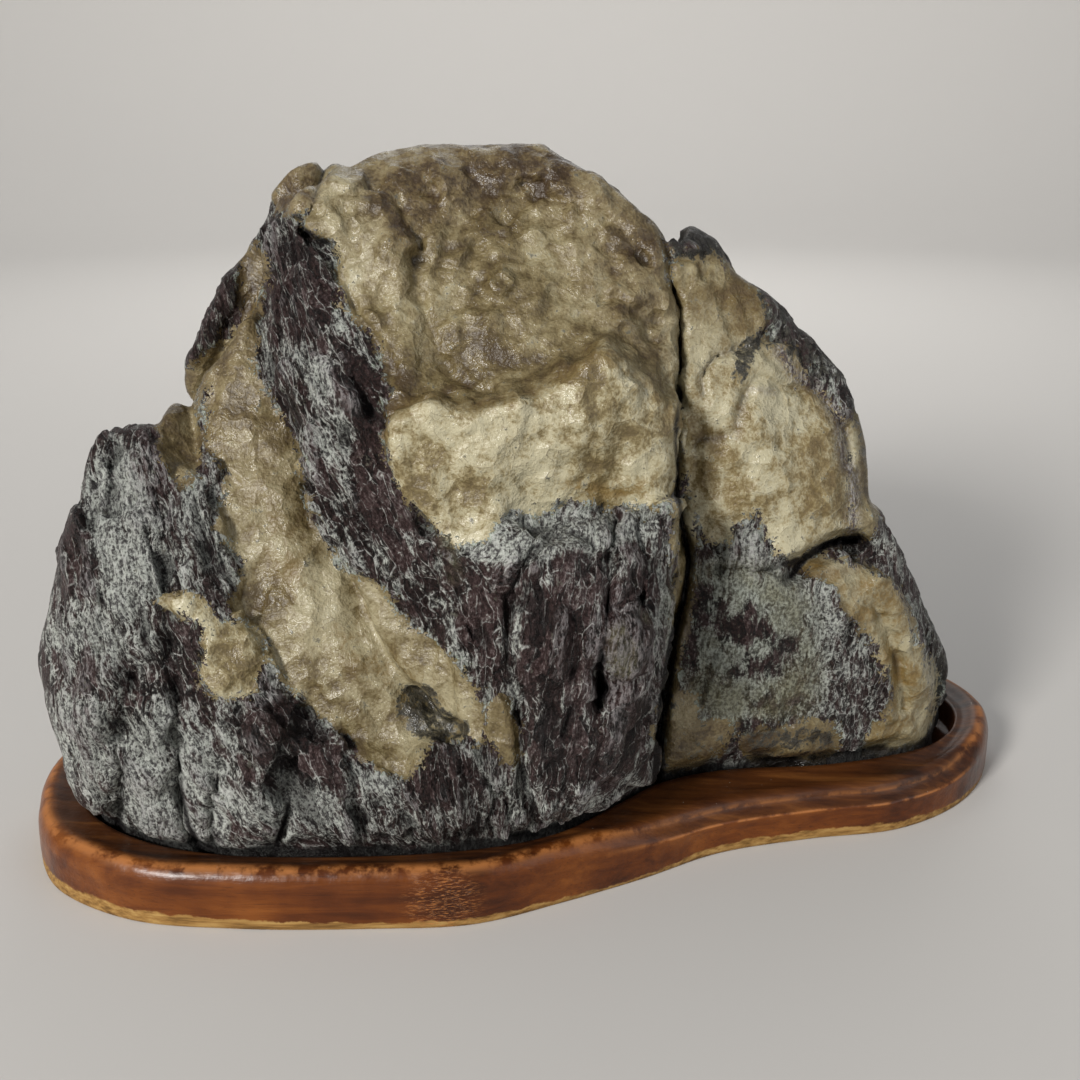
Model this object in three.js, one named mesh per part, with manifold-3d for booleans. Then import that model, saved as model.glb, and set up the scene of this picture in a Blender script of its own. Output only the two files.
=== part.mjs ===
// A scholar's rock: one natural stone of purple schist and buff quartz, standing in its carved
// hardwood stand. Millimetres, +Z up. The display face looks along -Y, the long side runs along X,
// and the origin is on the surface that the stand rests on, below the middle of the whole piece.
//
//   stand   a low tray with a wavy outline, hollowed on top to the outline of the stone's foot
//   stone   a mountain-shaped boulder, set loose in the tray and held by its own weight

import * as THREE from "three";
import { ConvexGeometry } from "three/addons/geometries/ConvexGeometry.js";
import { mergeVertices } from "three/addons/utils/BufferGeometryUtils.js";
import Module from "manifold-3d";

const wasm = await Module();
wasm.setup();

// ---- driving dimensions -------------------------------------------------------------------------

const STAND_HEIGHT = 18;
const TRAY_FLOOR = 8; // height of the tray's floor above the table
const EDGE_ROUND = 3; // rounding of the stand's upper and lower outer edges
const FOOT_GAP = 0.6; // room between the stone's foot and the tray's wall
const SEAT_GAP = 0.4; // room between the stone and what is under it
const STONE_FOOT = TRAY_FLOOR + SEAT_GAP; // height of the stone's flat underside

// Outline of the stand, anticlockwise from above: a broad lobe at the left, a waist at the front,
// and a narrower lobe set back at the right.
const STAND_OUTLINE = [
  [-150, -36], [-139, -56], [-113, -71], [-82, -75], [-45, -75], [-18, -73],
  [6, -63.5], [30, -52], [54, -39], [82, -31.5], [111, -26], [134, -12],
  [149, 8], [154, 28], [146, 50], [124, 66], [92, 74.5], [52, 74.5],
  [12, 67], [-28, 57], [-68, 51], [-106, 45], [-137, 26], [-153.5, -8],
];

// Outline of the hollow that the stone's foot stands in.
const TRAY_OUTLINE = [
  [-140, -18], [-130, -43], [-110, -57.5], [-88, -63.5], [-66, -64.5], [-38, -63.5],
  [-11, -59.5], [7, -52], [23, -38], [38, -25], [60, -17.5], [84, -15.5],
  [108, -10.5], [125, -3], [137, 10], [141, 25], [135, 43], [116, 55],
  [88, 62], [52, 62], [14, 55], [-26, 45], [-66, 39], [-102, 33],
  [-128, 14],
];

// ---- the masses that make up the stone -----------------------------------------------------------
//
// Each mass is the block between its corner points. The stone is all of them grown into one.

const MASSES = {
  core: [
    [-112, -22, 8], [-112, 18, 8], [-60, -45, 8], [0, -40, 8], [40, -20, 8], [112, 2, 8],
    [120, 30, 8], [40, 50, 8], [-60, 33, 8], [-104, -16, 110], [-100, 14, 112], [-56, -14, 172],
    [18, -14, 172], [46, -4, 160], [84, 6, 120], [80, 30, 120], [30, 30, 160], [-44, 24, 176],
    [-34, -36, 122], [-30, -36, 90], [18, -26, 90],
  ],
  leftWall: [
    [-132, -40, 8], [-110, -56, 8], [-88, -63, 8], [-72, -60, 8], [-137, -18, 8], [-124, 12, 8],
    [-98, 30, 8], [-145, -34, 56], [-148, -12, 64], [-137, -52, 42], [-118, -60, 60],
    [-84, -63, 68], [-96, -57, 94], [-121, -44, 108], [-119, -30, 127], [-107, -30, 128],
    [-118, -6, 129], [-98, -10, 129], [-88, -44, 112], [-138, 14, 60], [-127, 22, 94],
    [-104, 34, 60], [-100, 28, 108], [-76, -58, 76], [-66, -40, 60],
  ],
  saddle: [
    [-98, -12, 130], [-91, -14, 141], [-80, -10, 158], [-74, -37, 112], [-92, -33, 120],
    [-60, -52, 84], [-38, -58, 60], [-24, -60, 46], [-80, -58, 66], [-70, -60, 40],
    [-60, 30, 8], [-20, 40, 8], [-92, 30, 100], [-76, 24, 160], [-30, 34, 100], [-20, -56, 8],
    [-70, -58, 8],
  ],
  farShoulder: [
    [-104, 6, 126], [-103, 10, 140], [-94, 6, 156], [-87, 8, 168], [-79, 6, 178], [-72, 14, 185],
    [-76, 26, 176], [-98, 26, 136], [-98, 28, 100], [-70, -4, 150], [-70, 26, 120],
  ],
  ridgeAbove: [
    [-72, 2, 184], [-66, -8, 188], [-57, -12, 180], [-72, -12, 168], [-66, -30, 146],
    [-42, -36, 146], [-74, -16, 138], [-60, -42, 120], [-36, -42, 118], [-66, 20, 176],
    [-40, 20, 120],
  ],
  ridgeBelow: [
    [-66, -30, 146], [-40, -40, 142], [-62, -42, 118], [-42, -50, 106], [-24, -54, 108],
    [-46, -54, 86], [-16, -63, 70], [-26, -62, 54], [-2, -58, 64], [-40, 20, 100], [0, 0, 60],
    [-30, -30, 40],
  ],
  crown: [
    [-62, -14, 190], [-59, -22, 176], [-54, -30, 158], [-50, 0, 198], [-30, 4, 201],
    [2, 4, 202], [14, -2, 196], [34, -6, 179], [37, -16, 160], [36, -30, 138], [-54, 24, 189],
    [-20, 28, 196], [14, 26, 188], [36, 22, 168], [-34, -44, 138], [-4, -42, 142],
    [16, -40, 152], [-58, 34, 110], [36, 36, 110], [-40, -38, 120], [36, -34, 112],
  ],
  cliff: [
    [-38, -45, 136], [-28, -49, 138], [-4, -49, 142], [16, -43, 153], [33, -35, 146],
    [-44, -43, 122], [-28, -54, 105], [0, -56, 105], [28, -49, 110], [36, -36, 114],
    [-30, -20, 98], [36, -10, 98], [30, -10, 156],
  ],
  buttress: [
    [-24, -55, 108], [-2, -60, 115], [18, -58, 115], [33, -50, 113], [-24, -64, 82],
    [4, -71, 84], [26, -66, 84], [37, -50, 80], [-22, -67, 48], [8, -70, 44], [26, -59, 42],
    [36, -42, 50], [-14, -62, 8], [7, -53, 8], [21, -43, 8], [34, -31, 8], [-20, 0, 100],
    [34, 0, 110], [34, 20, 8], [-20, 20, 8],
  ],
  toes: [
    [-104, -58, 8], [-88, -64, 8], [-66, -67, 8], [-38, -66, 8], [-11, -61, 8], [6, -53, 8],
    [-100, -62, 30], [-76, -69, 34], [-46, -69, 28], [-14, -68, 34], [-84, -64, 56],
    [-60, -63, 50], [-26, -63, 48], [-40, 0, 60], [-90, 0, 60], [-40, 0, 8], [-90, 0, 8],
  ],
  rightWall: [
    [38, -18, 92], [38, -20, 140], [38, -8, 172], [41, 2, 181], [51, 2, 175], [65, 0, 163],
    [79, 2, 148], [90, 0, 135], [97, 0, 115], [99, -6, 97], [64, -22, 122], [84, -17, 108],
    [84, -19, 90], [60, -23, 90], [44, 28, 174], [77, 34, 146], [99, 36, 110], [40, 44, 90],
    [104, 30, 80],
  ],
  rightFoot: [
    [38, -24, 88], [70, -25, 90], [98, -8, 98], [105, 0, 95], [115, 0, 78], [123, 4, 62],
    [130, 6, 46], [133, 12, 26], [132, 10, 8], [121, -2, 8], [108, -10, 8], [82, -19, 8],
    [60, -20, 8], [38, -28, 8], [39, -30, 50], [72, -27, 52], [108, -14, 50], [135, 26, 30],
    [138, 26, 8], [130, 42, 8], [112, 52, 8], [123, 40, 60], [103, 38, 95], [84, 58, 8],
    [84, 50, 60], [40, 44, 100],
  ],
  backLeft: [
    [-126, 11, 8], [-100, 31, 8], [-60, 38, 8], [-26, 42, 8], [-121, 20, 58], [-96, 36, 64],
    [-56, 43, 66], [-102, 29, 112], [-72, 34, 128], [-28, 37, 118], [-60, 0, 8], [-60, 0, 120],
  ],
  backMiddle: [
    [-64, 36, 8], [-22, 44, 8], [22, 54, 8], [-46, 42, 84], [-6, 50, 66], [24, 54, 56],
    [-42, 39, 142], [-2, 44, 128], [32, 46, 116], [-46, 28, 184], [2, 32, 182], [32, 28, 168],
    [-20, 0, 8], [-20, 0, 184], [34, 0, 150],
  ],
  backRight: [
    [18, 54, 8], [52, 60, 8], [88, 60, 8], [114, 53, 8], [132, 42, 8], [40, 58, 58],
    [68, 62, 54], [96, 57, 60], [120, 45, 54], [48, 49, 118], [80, 47, 108], [97, 40, 97],
    [52, 38, 156], [74, 35, 146], [60, 0, 8], [60, 0, 120], [110, 10, 8],
  ],
  nub: [
    [-78, 12, 184], [-70, 8, 192], [-60, 10, 197], [-54, 16, 197], [-60, 24, 194],
    [-74, 22, 186], [-70, 20, 168], [-54, 12, 170],
  ],
};

// ---- outlines ------------------------------------------------------------------------------------

function closedOutline(points, steps) {
  const corners = points.map(([x, y]) => new THREE.Vector3(x, y, 0));
  const curve = new THREE.CatmullRomCurve3(corners, true, "centripetal");
  return curve.getSpacedPoints(steps).slice(0, steps).map(({ x, y }) => new THREE.Vector2(x, y));
}

// The same anticlockwise outline, drawn smaller by the given distance.
function inset(outline, distance) {
  return outline.map((point, i) => {
    const along = outline[(i + 1) % outline.length].clone().sub(outline.at(i - 1)).normalize();
    return new THREE.Vector2(-along.y, along.x).multiplyScalar(distance).add(point);
  });
}

// ---- solids --------------------------------------------------------------------------------------

function toSolid(geometry) {
  const bare = geometry.clone();
  bare.deleteAttribute("normal");
  bare.deleteAttribute("uv");
  const merged = mergeVertices(bare, 1e-3);
  return new wasm.Manifold(new wasm.Mesh({
    numProp: 3,
    vertProperties: merged.attributes.position.array,
    triVerts: new Uint32Array(merged.index.array),
  }));
}

function toGeometry(solid) {
  const { vertProperties, triVerts } = solid.getMesh();
  const geometry = new THREE.BufferGeometry();
  geometry.setAttribute("position", new THREE.BufferAttribute(vertProperties, 3));
  geometry.setIndex(new THREE.BufferAttribute(triVerts, 1));
  geometry.computeVertexNormals();
  return geometry;
}

// ---- the stand: a slab with rounded edges, hollowed for the stone's foot --------------------------

function makeStand() {
  const slab = new THREE.ExtrudeGeometry(new THREE.Shape(closedOutline(STAND_OUTLINE, 96)), {
    depth: STAND_HEIGHT - 2 * EDGE_ROUND,
    bevelThickness: EDGE_ROUND,
    bevelSize: EDGE_ROUND,
    bevelOffset: -EDGE_ROUND,
    bevelSegments: 3,
  });
  slab.translate(0, 0, EDGE_ROUND);
  const hollow = new THREE.ExtrudeGeometry(new THREE.Shape(closedOutline(TRAY_OUTLINE, 80)), {
    depth: STAND_HEIGHT,
    bevelEnabled: false,
  });
  hollow.translate(0, 0, TRAY_FLOOR);
  return toGeometry(toSolid(slab).subtract(toSolid(hollow)));
}

// ---- the stone: all its masses in one, cut to the tray below the rim -------------------------------

function makeStone() {
  const masses = Object.values(MASSES).map((corners) =>
    toSolid(new ConvexGeometry(corners.map((corner) => new THREE.Vector3(...corner)))));
  const boulder = masses.reduce((whole, mass) => whole.add(mass));
  return toGeometry(boulder.subtract(toSolid(rimCollar())).subtract(toSolid(belowFoot())));
}

const CUT_SIZE = 400; // wider than the whole piece

// A plate as high as the stand, with a hole for the foot.
function rimCollar() {
  const plate = new THREE.Shape([
    new THREE.Vector2(-CUT_SIZE, -CUT_SIZE), new THREE.Vector2(CUT_SIZE, -CUT_SIZE),
    new THREE.Vector2(CUT_SIZE, CUT_SIZE), new THREE.Vector2(-CUT_SIZE, CUT_SIZE),
  ]);
  plate.holes.push(new THREE.Path(inset(closedOutline(TRAY_OUTLINE, 80), FOOT_GAP)));
  return new THREE.ExtrudeGeometry(plate, { depth: STAND_HEIGHT + SEAT_GAP, bevelEnabled: false });
}

function belowFoot() {
  return new THREE.BoxGeometry(CUT_SIZE, CUT_SIZE, CUT_SIZE).translate(0, 0, STONE_FOOT - CUT_SIZE / 2);
}

// ---- the whole piece -----------------------------------------------------------------------------

const wood = new THREE.MeshStandardMaterial({ color: 0x7c3d1c, roughness: 0.35, metalness: 0 });
const schist = new THREE.MeshStandardMaterial({ color: 0x5e535a, roughness: 0.6, metalness: 0 });

const stand = new THREE.Mesh(makeStand(), wood);
stand.name = "stand";

const stone = new THREE.Mesh(makeStone(), schist);
stone.name = "stone";

const scholarsRock = new THREE.Group();
scholarsRock.add(stand, stone);

export default scholarsRock;
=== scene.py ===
# A scholar's rock of purple schist and buff quartz, loose in its carved and varnished hardwood stand.
# Made in metres in the frame of the CAD model. Sizes below are millimetres unless they say metres.

from itertools import product
from math import radians

import bmesh
import bpy
import numpy as np
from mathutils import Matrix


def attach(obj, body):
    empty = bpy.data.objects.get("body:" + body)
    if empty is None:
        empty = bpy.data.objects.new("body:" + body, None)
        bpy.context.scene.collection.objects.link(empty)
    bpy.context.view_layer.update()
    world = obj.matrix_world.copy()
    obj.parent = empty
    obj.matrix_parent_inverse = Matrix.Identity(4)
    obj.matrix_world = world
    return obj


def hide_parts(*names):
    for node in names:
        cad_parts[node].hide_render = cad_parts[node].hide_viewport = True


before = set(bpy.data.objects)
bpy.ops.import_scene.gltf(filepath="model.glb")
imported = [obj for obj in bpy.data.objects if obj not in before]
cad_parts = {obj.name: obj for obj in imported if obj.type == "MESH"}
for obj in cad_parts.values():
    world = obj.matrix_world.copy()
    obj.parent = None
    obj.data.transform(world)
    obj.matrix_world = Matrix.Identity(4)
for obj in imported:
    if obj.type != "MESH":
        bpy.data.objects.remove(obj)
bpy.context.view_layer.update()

import openvdb
from mathutils import Vector

# ---- the room ------------------------------------------------------------------------------------
# A pale seamless floor that curves up all round into a low wall, soft lamps above it, and the
# viewer's place a little above the table, in front of the display face. The floor and the lamps are
# in metres.

MM = 0.001
VIEWER = (0.3, -361.8, 218.0)
LOOKING_DOWN = 20


def plain_object(name, points, faces):
    mesh = bpy.data.meshes.new(name)
    mesh.from_pydata([tuple(p) for p in points], [], faces)
    mesh.update()
    item = bpy.data.objects.new(name, mesh)
    bpy.context.collection.objects.link(item)
    return item


def paint(red, green, blue):
    """A colour as it is mixed on a 0 to 255 card, as the light that it sends back."""
    shares = [c / 255 for c in (red, green, blue)]
    light = [((c + 0.055) / 1.055) ** 2.4 if c > 0.04 else c / 12.92 for c in shares]
    return (*light, 1.0)


FLOOR_RADIUS = 1.5
WALL_CURVE = 0.8
TURNS = 96

sweep = [(0.2, 0.0), (0.6, 0.0), (1.0, 0.0), (FLOOR_RADIUS, 0.0)]
sweep += [
    (FLOOR_RADIUS + WALL_CURVE * np.sin(a), WALL_CURVE * (1 - np.cos(a)))
    for a in np.radians([7.5, 15, 22.5, 30, 37.5, 45, 52.5, 60, 67.5, 75, 82.5, 90])
]
turn = np.radians(np.arange(TURNS) * 360 / TURNS)
floor_points = [(0, 0, 0)] + [(r * np.cos(a), r * np.sin(a), z) for r, z in sweep for a in turn]
floor_faces = [(0, 1 + i, 1 + (i + 1) % TURNS) for i in range(TURNS)]
for ring in range(len(sweep) - 1):
    near = 1 + ring * TURNS
    for i in range(TURNS):
        j = (i + 1) % TURNS
        floor_faces.append((near + i, near + TURNS + i, near + TURNS + j, near + j))
floor = plain_object("floor", floor_points, floor_faces)
floor.data.shade_smooth()

floor_cloth = bpy.data.materials.new("pale floor")
floor_cloth.use_nodes = True
floor_shader = floor_cloth.node_tree.nodes["Principled BSDF"]
floor_shader.inputs["Base Color"].default_value = paint(198, 195, 191)
floor_shader.inputs["Roughness"].default_value = 0.8
floor_shader.inputs["Specular IOR Level"].default_value = 0.2
floor.data.materials.append(floor_cloth)

world = bpy.data.worlds.new("room")
world.use_nodes = True
world.node_tree.nodes["Background"].inputs["Color"].default_value = (0.93, 0.96, 1.0, 1.0)
world.node_tree.nodes["Background"].inputs["Strength"].default_value = 0.27
bpy.context.scene.world = world


def soft_lamp(name, place, aim, width, watts, colour):
    """A square lamp; place, aim and width are in metres."""
    lamp = bpy.data.lights.new(name, "AREA")
    lamp.size = width
    lamp.energy = watts
    lamp.color = colour
    item = bpy.data.objects.new(name, lamp)
    bpy.context.collection.objects.link(item)
    item.location = place
    item.rotation_euler = (Vector(aim) - Vector(place)).to_track_quat("-Z", "Y").to_euler()


soft_lamp("key lamp", (-0.93, -1.32, 0.88), (0, 0, 0.1), 0.36, 34, (1.0, 0.98, 0.95))
soft_lamp("fill lamp", (0.9, -0.6, 0.5), (0, 0, 0.1), 0.8, 2.5, (0.97, 0.98, 1.0))
soft_lamp("back lamp", (0.1, 1.0, 0.9), (0, 0, 0.1), 0.8, 3.0, (1.0, 0.99, 0.97))
soft_lamp("wall lamp", (0, 0.9, 1.3), (0, 2.2, 0.3), 0.8, 14, (1.0, 0.99, 0.97))

viewer = bpy.data.cameras.new("viewer")
viewer.lens = 42
viewer.sensor_width = 36
viewer.clip_start = 0.02
viewer_stand = bpy.data.objects.new("viewer", viewer)
viewer_stand.location = [along * MM for along in VIEWER]
viewer_stand.rotation_euler = (radians(90 - LOOKING_DOWN), 0, 0)
bpy.context.collection.objects.link(viewer_stand)
bpy.context.scene.camera = viewer_stand
bpy.context.scene.view_settings.view_transform = "Standard"

# ---- the stand -----------------------------------------------------------------------------------
# A low tray carved by hand from one reddish hardwood board, stained and varnished. It is hollowed
# on top to the stone's foot, and the varnish has worn to bare pale wood along the bottom edge.

STAND_OUTLINE = [
    (-150, -36), (-139, -56), (-113, -71), (-82, -75), (-45, -75), (-18, -73), (6, -63.5), (30, -52),
    (54, -39), (82, -31.5), (111, -26), (134, -12), (149, 8), (154, 28), (146, 50), (124, 66),
    (92, 74.5), (52, 74.5), (12, 67), (-28, 57), (-68, 51), (-106, 45), (-137, 26), (-153.5, -8),
]
TRAY_OUTLINE = [
    (-140, -18), (-130, -43), (-110, -57.5), (-88, -63.5), (-66, -64.5), (-38, -63.5), (-11, -59.5),
    (7, -52), (23, -38), (38, -25), (60, -17.5), (84, -15.5), (108, -10.5), (125, -3), (137, 10),
    (141, 25), (135, 43), (116, 55), (88, 62), (52, 62), (14, 55), (-26, 45), (-66, 39), (-102, 33),
    (-128, 14),
]
TRAY_FLOOR = 8
STAND_STATIONS = 840
TRAY_STATIONS = 6000
HALF_WINDOW = 20
LIP_OUT = 0.5


def smooth_ring(corners, count):
    """The closed smooth curve through the corners, as evenly spaced points."""
    p1 = np.array(corners, float)
    p0, p2, p3 = np.roll(p1, 1, 0), np.roll(p1, -1, 0), np.roll(p1, -2, 0)
    sides = (p0, p1), (p1, p2), (p2, p3)
    d0, d1, d2 = (np.sqrt(np.linalg.norm(b - a, axis=1))[:, None] for a, b in sides)
    leave = ((p1 - p0) / d0 - (p2 - p0) / (d0 + d1) + (p2 - p1) / d1) * d1
    arrive = ((p2 - p1) / d1 - (p3 - p1) / (d1 + d2) + (p3 - p2) / d2) * d1
    t = np.linspace(0, 1, 24, endpoint=False)[None, :, None]
    p1, p2, leave, arrive = (v[:, None, :] for v in (p1, p2, leave, arrive))
    curve = (2 * t**3 - 3 * t**2 + 1) * p1 + (t**3 - 2 * t**2 + t) * leave
    curve = (curve + (3 * t**2 - 2 * t**3) * p2 + (t**3 - t**2) * arrive).reshape(-1, 2)
    loop = np.vstack([curve, curve[:1]])
    length = np.concatenate([[0], np.cumsum(np.linalg.norm(np.diff(loop, axis=0), axis=1))])
    at = np.arange(count) * length[-1] / count
    return np.column_stack([np.interp(at, length, loop[:, k]) for k in (0, 1)])


def ease(low, high, value):
    t = np.clip((value - low) / (high - low), 0, 1)
    return t * t * (3 - 2 * t)


def ripple(count, waves, seed):
    """A smooth closed random line with about the given number of waves round the ring."""
    rng = np.random.default_rng(seed)
    along = np.arange(count) * 2 * np.pi / count
    line = sum(
        rng.normal() * np.cos(k * along + rng.uniform(0, 2 * np.pi)) / (1 + (k / waves) ** 2)
        for k in range(1, 3 * waves)
    )
    return line / np.abs(line).max()


rim = smooth_ring(STAND_OUTLINE, STAND_STATIONS)
inward = np.roll(rim, -1, 0) - np.roll(rim, 1, 0)
inward = np.column_stack([-inward[:, 1], inward[:, 0]])
inward /= np.linalg.norm(inward, axis=1)[:, None]

# Each station of the rim is paired with the nearest place on the tray's edge, evened out along it.
tray_fine = smooth_ring(TRAY_OUTLINE, TRAY_STATIONS)
match = np.array([np.argmin(((tray_fine - p) ** 2).sum(1)) for p in rim])
match = np.unwrap(match * 2 * np.pi / TRAY_STATIONS)
window = np.hanning(2 * HALF_WINDOW + 1)
window = window / window.sum()
wrapped = np.concatenate([match[-HALF_WINDOW:] - 2 * np.pi, match, match[:HALF_WINDOW] + 2 * np.pi])
match = np.convolve(wrapped, window, "valid")
tray = tray_fine[(match / (2 * np.pi) * TRAY_STATIONS).round().astype(int) % TRAY_STATIONS]
outward = tray - np.roll(tray, 1, 0) + np.roll(tray, -1, 0) - tray
outward = np.column_stack([outward[:, 1], -outward[:, 0]])
outward /= np.maximum(np.linalg.norm(outward, axis=1), 1e-6)[:, None]

# How far in and how high each step up the side lies: for the plain rounded rim of the left and back,
# and for the double bevel of the front right.
ROUNDED = [
    (0.8, 0), (0.2, 0.5), (0, 1.6), (0, 3.4), (0, 5.2), (0, 7), (0, 9), (0.05, 11), (0.15, 12.6),
    (0.4, 14), (0.8, 15.2), (1.4, 16.2), (2.1, 17), (3.0, 17.6), (4.0, 17.9), (5.0, 17.95), (6.2, 17.7),
]
BEVELLED = [
    (0.8, 0), (0.2, 0.5), (0, 1.6), (0, 3.4), (0.1, 5.2), (0.2, 7), (0.2, 8.6), (0.1, 9.6), (0.15, 10.1),
    (0.7, 10.5), (1.5, 11.1), (2.4, 11.8), (3.2, 12.5), (3.5, 13.0), (3.8, 14.2), (4.7, 14.9), (6.2, 15.5),
]

double = ease(8, 50, rim[:, 0]) * ease(30, 0, rim[:, 1]) * ease(150, 128, rim[:, 0])
wander = 0.30 * ripple(STAND_STATIONS, 26, 3)
lift = 0.28 * ripple(STAND_STATIONS, 18, 4)
rings = []
for step, ((a_in, a_up), (b_in, b_up)) in enumerate(zip(ROUNDED, BEVELLED)):
    inset = a_in + (b_in - a_in) * double
    up = a_up + (b_up - a_up) * double
    carve = min(step / 6, 1)
    inset = inset + 0.25 + carve * (0.22 + wander * (0.6 + 0.4 * np.sin(up / 3)))
    inset = inset + 0.16 * ripple(STAND_STATIONS, 60, 20 + step // 3) * carve
    up = up + lift * max(0, (step - 7) / 9) - 0.15
    rings.append(np.column_stack([rim + inward * inset[:, None], np.maximum(up, 0) if step else up * 0]))
shoulder = rings[-1]
edge_up = 17.0 + 0.35 * ripple(STAND_STATIONS, 14, 9)
lip = np.column_stack([tray + outward * LIP_OUT, edge_up])
dip = 0.5 * ease(10, 60, rim[:, 0]) + 0.25
for k in range(1, 7):
    t = k / 7
    between = shoulder * (1 - t) + lip * t
    between[:, 2] -= dip * np.sin(np.pi * t) * 0.9
    between[:, 2] += 0.12 * ripple(STAND_STATIONS, 40, 50 + k)
    rings.append(between)
rings.append(lip)
rings.append(np.column_stack([tray + outward * 0.12, edge_up - 0.5]))
rings.append(np.column_stack([tray, edge_up - 1.4]))
for up in (14, 11.5, TRAY_FLOOR + 0.6, TRAY_FLOOR):
    cove = 0.3 if up == TRAY_FLOOR else 0
    rings.append(np.column_stack([tray - outward * cove, np.full(STAND_STATIONS, up)]))

stand_points = np.vstack(rings)
stand_faces = []
for r in range(len(rings) - 1):
    near = r * STAND_STATIONS
    for i in range(STAND_STATIONS):
        j = (i + 1) % STAND_STATIONS
        stand_faces.append((near + i, near + j, near + STAND_STATIONS + j, near + STAND_STATIONS + i))
stand_faces.append(tuple(range(STAND_STATIONS - 1, -1, -1)))
stand_faces.append(tuple(range((len(rings) - 1) * STAND_STATIONS, len(rings) * STAND_STATIONS)))
stand = plain_object("wood_stand", stand_points * MM, stand_faces)
stand.data.shade_smooth()


def mark(item, name, values):
    """Stores one number, or one vector, for each point of a mesh."""
    values = np.asarray(values, np.float32)
    kind, slot = ("FLOAT_VECTOR", "vector") if values.ndim == 2 else ("FLOAT", "value")
    item.data.attributes.new(name, kind, "POINT").data.foreach_set(slot, values.ravel())


class Finish:
    """The shader of one finish, built up from patterns in millimetres."""

    def __init__(self, name):
        self.material = bpy.data.materials.new(name)
        self.material.use_nodes = True
        self.tree = self.material.node_tree
        self.shader = self.tree.nodes["Principled BSDF"]

    def node(self, kind, inputs=(), **settings):
        made = self.tree.nodes.new(kind)
        for key, value in settings.items():
            setattr(made, key, value)
        for key, value in dict(inputs).items():
            self.feed(made.inputs[key], value)
        return made

    def feed(self, socket, value):
        if isinstance(value, bpy.types.NodeSocket):
            self.tree.links.new(value, socket)
        else:
            socket.default_value = value

    def read(self, name, output="Fac"):
        """What was marked on the mesh under this name."""
        return self.node("ShaderNodeAttribute", attribute_name=name).outputs[output]

    def place(self, stretch=(1, 1, 1)):
        """Where a point is, in millimetres, squeezed along each axis."""
        spot = self.node("ShaderNodeTexCoord").outputs["Object"]
        return self.scale(spot, tuple(1000 * s for s in stretch))

    def scale(self, vector, by):
        return self.node("ShaderNodeVectorMath", {0: vector, 1: by}, operation="MULTIPLY").outputs[0]

    def cloud(self, vector, size, detail=4.0, rough=0.55, bend=0.0):
        """Soft random blotches about as wide as the size."""
        made = self.node("ShaderNodeTexNoise", {
            "Vector": vector, "Scale": 1 / size, "Detail": detail, "Roughness": rough, "Distortion": bend})
        return made.outputs["Fac"]

    def cells(self, vector, size, feature="F1"):
        """Random cells about as wide as the size, each measured from its middle or from its edge."""
        return self.node("ShaderNodeTexVoronoi", {"Vector": vector, "Scale": 1 / size}, feature=feature)

    def tone(self, cells):
        """One random tone for each cell."""
        return self.node("ShaderNodeSeparateColor", {0: cells.outputs["Color"]}).outputs[0]

    def math(self, operation, one, two):
        return self.node("ShaderNodeMath", {0: one, 1: two}, operation=operation).outputs[0]

    def times(self, *values):
        result = values[0]
        for value in values[1:]:
            result = self.math("MULTIPLY", result, value)
        return result

    def plus(self, *values):
        result = values[0]
        for value in values[1:]:
            result = self.math("ADD", result, value)
        return result

    def between(self, value, low, high, to=(0.0, 1.0)):
        """The value eased from low to high."""
        made = self.node("ShaderNodeMapRange", {
            "Value": value, "From Min": low, "From Max": high, "To Min": to[0], "To Max": to[1]},
            interpolation_type="SMOOTHSTEP")
        return made.outputs["Result"]

    def mix(self, amount, one, two):
        """Two colours, the second as strong as the amount."""
        made = self.node("ShaderNodeMix", data_type="RGBA", clamp_factor=True)
        self.feed(made.inputs["Factor"], amount)
        self.feed(made.inputs[6], one)
        self.feed(made.inputs[7], two)
        return made.outputs[2]

    def blend(self, amount, one, two):
        """Two numbers, the second as strong as the amount."""
        made = self.node("ShaderNodeMix", data_type="FLOAT", clamp_factor=True)
        self.feed(made.inputs["Factor"], amount)
        self.feed(made.inputs[2], one)
        self.feed(made.inputs[3], two)
        return made.outputs[0]

    def stain(self, value, stops):
        """A colour picked along a row of (place, colour) stops."""
        made = self.node("ShaderNodeValToRGB", {"Fac": value})
        row = made.color_ramp.elements
        while len(row) < len(stops):
            row.new(0.5)
        for stop, (spot, colour) in zip(row, stops):
            stop.position = spot
            stop.color = colour
        return made.outputs["Color"]

    def relief(self, height, depth, under=None):
        """Turns a pattern into relief of the given depth in millimetres."""
        made = self.node("ShaderNodeBump", {"Height": height, "Distance": depth * MM, "Strength": 1.0})
        if under is not None:
            self.feed(made.inputs["Normal"], under)
        return made.outputs["Normal"]


# How high the bare band at the foot of the side is, going round by direction from the middle.
BARE_BAND = [
    (-180, 3.5), (-168, 4.8), (-150, 4.4), (-135, 3.2), (-120, 2.2), (-100, 2.6), (-80, 1.6), (-60, 1.2),
    (-40, 2.8), (-20, 3.6), (-5, 2.4), (10, 1.0), (40, 1.0), (120, 2.0), (180, 3.5),
]
bare = np.interp(np.degrees(np.arctan2(rim[:, 1], rim[:, 0])), *zip(*BARE_BAND))

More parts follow.
